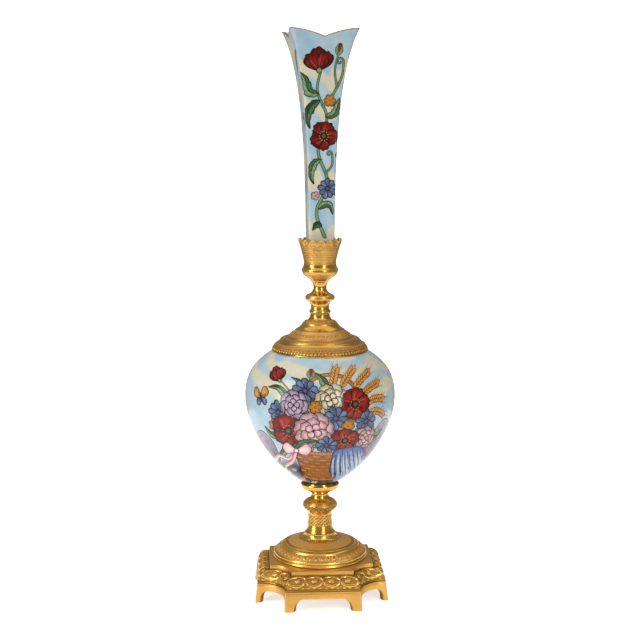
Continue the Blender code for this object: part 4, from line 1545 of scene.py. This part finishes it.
def plinth_edge():
    """The lower edge of the plinth's wall round its feet and arches, as points of (share, height, share
    at the apron's top)."""
    flat = FOOT_HALF - FOOT_HOLLOW
    edge = [(x / flat, ARCH_HEIGHT, x / flat) for x in np.linspace(0, SIDE_ARCH - SIDE_ARCH_ROUND, 8)[:-1]]
    for a in np.linspace(0, math.pi / 2, 9):
        reach = SIDE_ARCH - SIDE_ARCH_ROUND * (1 - math.sin(a))
        edge.append((reach / flat, ARCH_HEIGHT - SIDE_ARCH_ROUND * (1 - math.cos(a)),
                     (reach - 0.9 * math.sin(a)) / flat))
    edge += [(SIDE_ARCH / flat, 0.8, (SIDE_ARCH - 0.5) / flat),
             (SIDE_ARCH / flat + 0.006, 0.1, SIDE_ARCH / flat)]
    edge += [(s, 0.0, s) for s in (0.80, 0.85, 0.90, 0.95, 0.967, 0.98, 0.99, 1.0,
                                   1.01, 1.02, 1.033, 1.06, 1.10, 1.145)]
    foot = 2 - math.asin(HOLLOW_ARCH / FOOT_HOLLOW) / (math.pi / 4)
    edge += [(foot - 0.006, 0.1, foot - 0.003), (foot, 0.8, foot + 0.01), (foot, 2.4, foot + 0.035)]
    for a in np.linspace(math.pi / 2, 0, 8):
        reach = HOLLOW_ARCH - HOLLOW_ARCH_ROUND * (1 - math.sin(a))
        share = 2 - math.asin(reach / FOOT_HOLLOW) / (math.pi / 4)
        edge.append((share, ARCH_HEIGHT - HOLLOW_ARCH_ROUND * (1 - math.cos(a)), share + 0.07 * math.sin(a)))
    edge += [(s, ARCH_HEIGHT, s) for s in np.linspace(share, 2, 6)[1:]]
    half = np.array(edge)
    mirrored = half[1:-1][::-1] * [-1, 1, -1]
    return four_sides(np.vstack([mirrored, half]), np.array([4, 0, 4]))


def make_plinth(material):
    """The hollow plinth on its eight feet, as rows of points from its ceiling out and over to its top."""
    share, low, top_share = plinth_edge().T
    on_side = np.abs((share + 2) % 4 - 2) < 1
    mm_per_share = np.where(on_side, FOOT_HALF - FOOT_HOLLOW, FOOT_HOLLOW * math.pi / 4)
    along = np.roll(share, -1) - np.roll(share, 1)
    along[[0, -1]] += 16                    # a whole turn, between the last point and the first
    tangent = np.stack([along * mm_per_share, np.roll(low, -1) - np.roll(low, 1)])
    tangent /= np.linalg.norm(tangent, axis=0)

    def face_half(z):
        return np.interp(z, (0.0, APRON_TOP), (FOOT_HALF, APRON_HALF))

    rows, matte, patina_and_shade = [], [], []

    def row(points, dull, toned=0.0):
        rows.append(points)
        matte.append(dull)
        patina_and_shade.append(toned)

    wall = PLINTH_WALL
    # the inside of the wall, its ceiling and the underside of its edge are toned dark as painted shade
    row(plinth_place(top_share, TABLE_HALF, TABLE_TOP - wall, wall + 1.5), 1.0, 0.9)
    row(plinth_place(top_share, TABLE_HALF, FRIEZE_TOP - 1.0, wall), 1.0, 0.9)
    row(plinth_place(top_share, APRON_HALF, APRON_TOP - 1.0, wall), 1.0, 0.8)
    row(plinth_place(share, face_half(low + 0.5), low + 0.5, wall), 1.0, 1.0)
    row(plinth_place(share, face_half(low), low, wall - 0.5), 0.9, 1.0)
    row(plinth_place(share, face_half(low), low, 1.1), 0.9, 0.9)
    for away, depth in ((0.0, 0.6), (0.06, 0.28), (0.2, 0.08), (0.55, 0.0)):
        s = share - tangent[1] * away / mm_per_share
        z = low + tangent[0] * away
        row(plinth_place(s, face_half(z), z, depth), 0.45)
    for t in (0.2, 0.45, 0.75, 1.0):
        z_t = z + (12.6 - z) * t
        s_t = s + (top_share - s) * t
        row(plinth_place(s_t, face_half(z_t), z_t), 0.5)
    profile, dull = moulding(
        (TABLE_HALF - 0.6, TABLE_TOP, OVOLO, 0.5), (TABLE_HALF, TABLE_TOP - 0.5, 0, 0.3),
        (TABLE_HALF, FRIEZE_TOP + 0.3, 0, 0.3), (TABLE_HALF + 0.1, FRIEZE_TOP, FRIEZE_BULGE, 0.6),
        (FRIEZE_FOOT_HALF, FILLET_TOP, 0, 0.2), (FRIEZE_FOOT_HALF + 0.35, FILLET_TOP - 0.15, OVOLO),
        (FRIEZE_FOOT_HALF + 0.35, APRON_TOP + 0.45, 0, 0.1),
        (FRIEZE_FOOT_HALF + 0.1, APRON_TOP + 0.35, 0, 0.1), (APRON_HALF - 0.3, APRON_TOP + 0.05, OVOLO, 0.3),
        (APRON_HALF, APRON_TOP - 0.5, 0, 0.5), (APRON_HALF, APRON_TOP - 1.0))
    toned = hollows(profile)
    toned[(profile[:, 1] < FRIEZE_TOP) & (profile[:, 1] > FILLET_TOP)] = 0.6
    for (half, z), m, g in reversed(list(zip(profile, dull, toned))):
        row(plinth_place(top_share, half, z), m, g)
    for shrink in (0.75, 0.53):
        row(rows[-1] * [shrink, shrink, 1], 0.9)
    count = len(share)
    verts = np.vstack([*rows, [[0, 0, TABLE_TOP - wall]], [[0, 0, TABLE_TOP]]])
    levels = np.arange(len(rows) * count).reshape(-1, count)
    faces = np.vstack([strip(low, high) for low, high in zip(levels, levels[1:])]).tolist()
    faces += fan(levels[0], len(verts) - 2)[:, [1, 0, 2]].tolist()
    faces += fan(levels[-1], len(verts) - 1).tolist()
    # the middle of the ceiling is toned dark as painted shade too
    matte = np.append(np.repeat(matte, count), [1.0, 0.9])
    patina_and_shade = np.append(np.repeat(patina_and_shade, count), [0.9, 0.0])
    dress(solid("gilt_plinth", verts, faces, matte, patina_and_shade, sharp=42), "gilt_bronze", material, "plinth")


def frieze_place(share, up, out):
    """A point over the frieze's rounded face; up runs 0 to 1, out is its height above the face."""
    face = moulding((TABLE_HALF, FRIEZE_TOP, FRIEZE_BULGE), (FRIEZE_FOOT_HALF, FILLET_TOP))[0][::-1]
    at = lengths(face) / lengths(face)[-1]
    run = np.gradient(face, axis=0)
    run /= np.linalg.norm(run, axis=1)[:, None]
    half = np.interp(up, at, face[:, 0])
    z = np.interp(up, at, face[:, 1])
    tilt = np.stack([np.interp(up, at, run[:, 1]), -np.interp(up, at, run[:, 0])])
    return plinth_place(share, half, z + tilt[1] * out, -tilt[0] * out)


def guilloche(material):
    """Two ribbons that cross between the frieze's rosettes, and a row of leaves under them."""
    knots = (-2, -1.6, -1, -0.735, -0.245, 0.245, 0.735, 1, 1.6, 2)
    phases = (0, 0.5, 1, 1.5, 2.5, 3.5, 4.5, 5, 5.5, 6)
    share = np.concatenate([np.linspace(a, b, 16, endpoint=False) for a, b in zip(knots, knots[1:])])
    phase = np.interp(share, knots, phases)
    share, phase = four_sides(share), four_sides(phase, 6)
    around = np.arange(len(share))
    verts, faces = [], []
    for side in (1, -1):
        wave = np.sin(math.pi * phase)
        middle = 0.55 + side * 0.335 * np.sign(wave) * np.abs(wave) ** 0.42
        lift = 0.30 + side * 0.16 * np.cos(math.pi * phase)
        section = ((-0.12, -0.5), (-0.10, 0.14), (-0.035, 0.55), (0.035, 0.55), (0.10, 0.14), (0.12, -0.5))
        rows = [(len(verts) + k) * len(share) + around for k in range(len(section))]
        verts += [frieze_place(share, middle + up, lift + out) for up, out in section]
        for low, high in zip(rows, [*rows[1:], rows[0]]):
            faces += strip(low, high).tolist()
    ribbons = solid("ribbons", np.vstack(verts), faces, 0.2, 0.05)

    def seats(shares, up):
        """Spots sunk a little into the frieze, and how an ornament on each is turned."""
        spots = frieze_place(shares, up, -SEAT_SINK)
        across = frieze_place(shares + 0.01, up, -SEAT_SINK) - frieze_place(shares - 0.01, up, -SEAT_SINK)
        rise = frieze_place(shares, up + 0.02, -SEAT_SINK) - frieze_place(shares, up - 0.02, -SEAT_SINK)
        turns = []
        for a, r in zip(across, rise):
            y, z = Vector(a).normalized(), Vector(r).normalized()
            turns.append(Matrix((y.cross(z), y, z)).transposed().to_euler()[:])
        return spots, turns

    rosettes = four_sides(np.interp(np.arange(6) + 0.5, phases, knots))
    leaves = four_sides(np.interp((np.arange(18) + 0.5) / 3, phases, knots))
    pieces = [ribbons,
              set_on(material, rosette, *seats(rosettes, 0.55), (1.0, 2.35, 2.1)),
              set_on(material, leaflet, *seats(leaves, 0.09), (0.85, 1.6, 0.95))]
    dress(joined("frieze_chasing", pieces), "gilt_bronze", material)


rosette = motif("rosette", [
    ring_points(24, 1, 1, 0.0, 6, 0.10), ring_points(24, 0.92, 0.92, 0.55, 6, 0.14),
    ring_points(24, 0.62, 0.62, 0.80, 6, 0.10), ring_points(24, 0.36, 0.36, 0.45),
    ring_points(24, 0.30, 0.30, 0.75), ring_points(24, 0.16, 0.16, 1.0), [(0, 0, 1.04)]], 0.2)
make_plinth(satin)
guilloche(gilt)

# foot dome, in the gilding painted lighter to stand in for the light that the ovoid keeps off it
dome_foot, dome_top = lowest("foot_dome"), highest("foot_dome")
turned(
    "foot_dome", 224, pale,
    (0.0, dome_top), (11.2, dome_top, CAVETTO, 0.05), (15.0, 39.7, 0, 0.6),
    (15.6, 39.5, SWELL * 0.2, 0.84), (23.4, 36.8, 0, 0.7, 3), (24.3, 36.5, 0, 0.3),
    (24.6, 36.4, 0, 0.2), (25.2, 36.0, 0, 0.1),
    (25.2, 35.7, OVOLO, 0.05), (28.4, 33.9, 0, 0.3),
    (28.8, 33.7, 0, 0.85), (32.5, 30.9, 0, 0.2),
    (32.8, 30.8, ROLL), (33.0, 28.7, 0, 0.3),
    (33.2, 28.5, ROLL), (33.3, dome_foot), (0.0, dome_foot))
ornaments("dome_chasing", [
    (leaflet, 44, 30.7, 32.3, 53, (0.5, 1.6, 1.8)),
    (bead, 88, 29.3, 33.45, 53, (0.4, 0.5, 0.5), 0.5),
    (bead, 120, 25.15, 36.05, 50, (0.28, 0.42, 0.42)),
    (scale, 34, 15.8, 39.4, 72, (0.4, 1.0, 1.3), 0.5),
    (lozenge, 90, 23.2, 37.05, 70, (0.26, 0.6, 0.6)),
], pale)

# stem
stem_top = highest("stem")
shaft = cubic((11.0, 62.0), (8.1, 58.6), (7.3, 54.0), (9.6, 46.2), 28)
turned(
    "stem", 176, gilt,
    (0.0, stem_top), (6.4, stem_top), (6.7, 73.2, HOLLOW),
    (6.25, 71.6), (6.6, 70.0, HOLLOW), (9.0, 68.0, SWELL, 0.35),
    (11.6, 66.0, SWELL * 1.6, 0.4), (12.2, 64.3, SWELL, 1.0), (11.8, 63.0, SWELL, 1.0),
    *((r, z, 0, 1.0 if 50 < z < 57.6 else 0.1) for r, z in shaft),
    (10.5, 44.2, OVOLO * 0.6), (11.0, 43.9), (11.0, lowest("stem")), (0.0, lowest("stem")))
stem_rows = []
for i in range(6):
    z = 50.4 + i * 1.2
    r = float(np.interp(z, shaft[::-1, 1], shaft[::-1, 0]))
    stem_rows.append((scale, 18, r - 0.05, z, 0, (0.34, 1.55, 1.1), 0.5 * i, 24.0))
for i, (r, z, lean) in enumerate(((12.3, 64.0, -8), (12.0, 62.9, -24), (11.1, 61.7, -40))):
    stem_rows.append((lozenge, 24, r, z, lean, (0.4, 1.45, 1.2), 0.5 * i))
ornaments("stem_chasing", stem_rows, gilt)

# saucer under the ovoid
seat = highest("body_cup")
turned(
    "body_cup", 176, gilt,
    (0.0, seat), (10.6, seat), (10.9, 79.4, 0, 0.6), (12.5, 79.4, 0, 0.4), (12.8, 80.3, 0, 0.1),
    (13.5, 80.3, OVOLO), (13.6, 79.0, OVOLO, 0.2), (10.0, 75.3, 0, 0.1), (8.2, lowest("body_cup")),
    (0.0, lowest("body_cup")))
ornaments("body_cup_chasing", [
    (lozenge, 42, 13.3, 78.4, -16, (0.45, 0.95, 0.8)),
    (lozenge, 42, 12.95, 77.5, -30, (0.45, 0.95, 0.8), 0.5),
    (lozenge, 42, 12.25, 76.7, -42, (0.45, 0.9, 0.75)),
], gilt)

# shoulder cap
cap_top = highest("shoulder_cap")
turned(
    "shoulder_cap", 224, gilt,
    (0.0, cap_top), (6.9, cap_top, HOLLOW), (8.7, 199.3, 0, 0.6),
    (10.7, 198.3, 0, 0.5, 2), (12.3, 197.2, 0, 0.3), (12.8, 196.3, CAVETTO * 0.4), (17.4, 192.5, 0, 0.6),
    (18.2, 191.4, 0, 0.8), (18.5, 191.0, 0, 0.9), (22.6, 188.0, 0, 0.6, 1),
    (23.2, 187.8, 0, 0.5, 2), (24.4, 187.0, 0, 0.4, 1), (26.6, 186.5, SWELL, 0.2, 3), (28.8, 184.9),
    (29.4, 184.0), (30.6, 183.1, SWELL, 1.0), (33.5, 178.4, 0, 0.1),
    (34.1, 178.2, ROLL), (34.1, 177.4),
    (32.2, 178.5), (27.6, 183.2), (12.0, 192.0), (0.0, 194.0))
ornaments("cap_chasing", [
    (bead, 84, 33.4, 179.2, 20, (0.7, 1.0, 1.05)),
    (lozenge, 84, 32.9, 180.7, 30, (0.4, 0.85, 0.8), 0.5),
    (lozenge, 84, 32.1, 181.9, 38, (0.4, 0.8, 0.75)),
    (leaflet, 44, 20.4, 189.7, 54, (0.4, 1.1, 1.5)),
    (bead, 62, 11.1, 198.0, 45, (0.3, 0.5, 0.5)),
], gilt)

# neck
turned(
    "neck", 128, gilt,
    (0.0, highest("neck")), (5.3, highest("neck"), HOLLOW), (4.9, 220.6, CAVETTO * 0.5),
    (8.4, 217.4, 0, 0.1), (9.2, 217.1, ROLL, 0.3), (9.4, 213.0, 0, 0.3),
    (8.0, 212.2, HOLLOW, 0.2), (6.5, 208.3, 0, 0.1), (6.7, 206.6, 0, 0.1),
    (7.0, 206.2, ROLL), (7.0, 203.9, 0, 0.2), (6.9, lowest("neck")), (0.0, lowest("neck")))

# toothed socket
SOCKET_TIP = highest("socket_cup")
TEETH = 16
TOOTH_DEPTH = 2.8
TOOTH_ROOT = 6.0            # how far down the wall the teeth are drawn out of


def cut_teeth(verts):
    """Draws the rim down into rounded teeth, with a tip on +X."""
    angle = np.arctan2(verts[:, 1], verts[:, 0])
    share = np.abs((angle / TAU * TEETH + 0.5) % 1 - 0.5) * 2
    fade = np.clip((verts[:, 2] - SOCKET_TIP + TOOTH_ROOT) / TOOTH_ROOT, 0, 1)
    verts[:, 2] -= TOOTH_DEPTH * share ** 1.5 * fade
    return verts


turned(
    "socket_cup", TEETH * 14, gilt,
    (0.0, 240.0), (10.3, 240.0, 0, 0.5), (10.6, 243.0, 0, 0.5, 1), (14.2, SOCKET_TIP - 0.2, 0, 0.3),
    (14.5, SOCKET_TIP, 0, 0.2), (15.1, SOCKET_TIP, 0, 0.2), (15.4, SOCKET_TIP - 0.3, 0, 0.45, 2),
    (14.3, 252.0, 0, 0.5, 4), (12.4, 245.0, 0, 0.5, 2), (11.6, 241.2, 0, 0.2),
    (11.5, 240.8, 0, 0.4, 2), (11.6, 238.7, 0, 0.1), (11.7, 238.4, HOLLOW),
    (12.3, 236.2, 0, 0.1), (12.8, 235.4, SWELL, 0.15), (12.8, 234.0, SWELL * 0.6, 0.5),
    (12.0, 231.8, SWELL * 0.5, 0.7), (10.1, 229.8, 0, 0.7), (7.2, 227.8, 0, 0.1, 2),
    (5.4, lowest("socket_cup")), (0.0, lowest("socket_cup")), shift=cut_teeth)
for piece in (bead, lozenge, leaflet, scale, rosette):
    bpy.data.objects.remove(piece, do_unlink=True)


# ---------------------------------------------------------------- floor, light and camera

TABLE_REACH, TABLE_GLOW = 0.46, 0.64
WALL_GLOW = 1.1
WORLD_COLOUR, WORLD_STRENGTH = (0.87, 0.77, 0.67, 1), 0.35
LENS = 72.58
CAMERA_SPOT, CAMERA_AIM = Vector((-0.0474, -0.9042, 0.3334)), Vector((0.0, 0.0, 0.1987))


def sheet(name, side, glow, near=False):
    """A pale round sheet from a list of radius and height; only a near one shows in the gilding."""
    turns = np.linspace(0, TAU, 97)[:-1]
    verts = np.vstack([ring_row(r, z)(turns) for r, z in side])
    rows = np.arange(len(verts)).reshape(len(side), -1)
    faces = np.vstack([strip(low, high)[:, [0, 3, 2, 1]] for low, high in zip(rows, rows[1:])]).tolist()
    if near:
        faces.append(rows[0].tolist())
    mesh = bpy.data.meshes.new(name)
    mesh.from_pydata(verts.tolist(), [], faces)
    mesh.shade_smooth()
    mesh.materials.append(studio_white(name + "_white", glow))
    piece = link(name, mesh)
    piece.visible_glossy = near
    piece.visible_diffuse = near


def studio():
    """A pale table top, and a floor and round wall so that the white is the same from all sides."""
    sheet("table_top", [(0.1, 0.0), (TABLE_REACH, 0.0)], TABLE_GLOW, near=True)
    bend = [(3.0 + 0.8 * math.sin(a), 0.8 - 0.8 * math.cos(a)) for a in np.linspace(0.0, math.pi / 2, 10)]
    sheet("far_floor", [(TABLE_REACH, 0.0)] + bend + [(3.8, 5.0)], WALL_GLOW)


def point(item, spot, aim):
    """Puts a lamp or camera on a spot, facing its aim."""
    item.location = spot
    item.rotation_euler = (aim - spot).to_track_quat("-Z", "Y").to_euler()


def softbox(name, azimuth, elevation, distance, width, height, power):
    """An area light that faces the vase; azimuth is to the right of the front, in degrees."""
    a, e = math.radians(azimuth), math.radians(elevation)
    aim = Vector((0, 0, HEIGHT * MM * 0.45))
    spot = aim + Vector((math.sin(a) * math.cos(e), -math.cos(a) * math.cos(e), math.sin(e))) * distance
    data = bpy.data.lights.new(name, "AREA")
    data.shape = "RECTANGLE"
    data.size, data.size_y, data.energy = width, height, power
    point(link(name, data), spot, aim)


def take_view():
    """The camera, a little to the left of the front and above the middle."""
    data = bpy.data.cameras.new("camera")
    data.sensor_width = 36.0
    data.lens = LENS
    camera = link("camera", data)
    point(camera, CAMERA_SPOT, CAMERA_AIM)
    bpy.context.scene.camera = camera


studio()
softbox("left_softbox", -62, 18, 1.2, 0.34, 1.2, 9.0)
softbox("right_softbox", 27, 18, 1.2, 0.20, 1.2, 4.8)
softbox("top_softbox", 0, 86, 1.4, 2.4, 2.4, 15.0)
take_view()
world = bpy.data.worlds.new("studio")
world.use_nodes = True
world.node_tree.nodes["Background"].inputs["Color"].default_value = WORLD_COLOUR
world.node_tree.nodes["Background"].inputs["Strength"].default_value = WORLD_STRENGTH
bpy.context.scene.world = world
bpy.context.scene.view_settings.view_transform = "Standard"
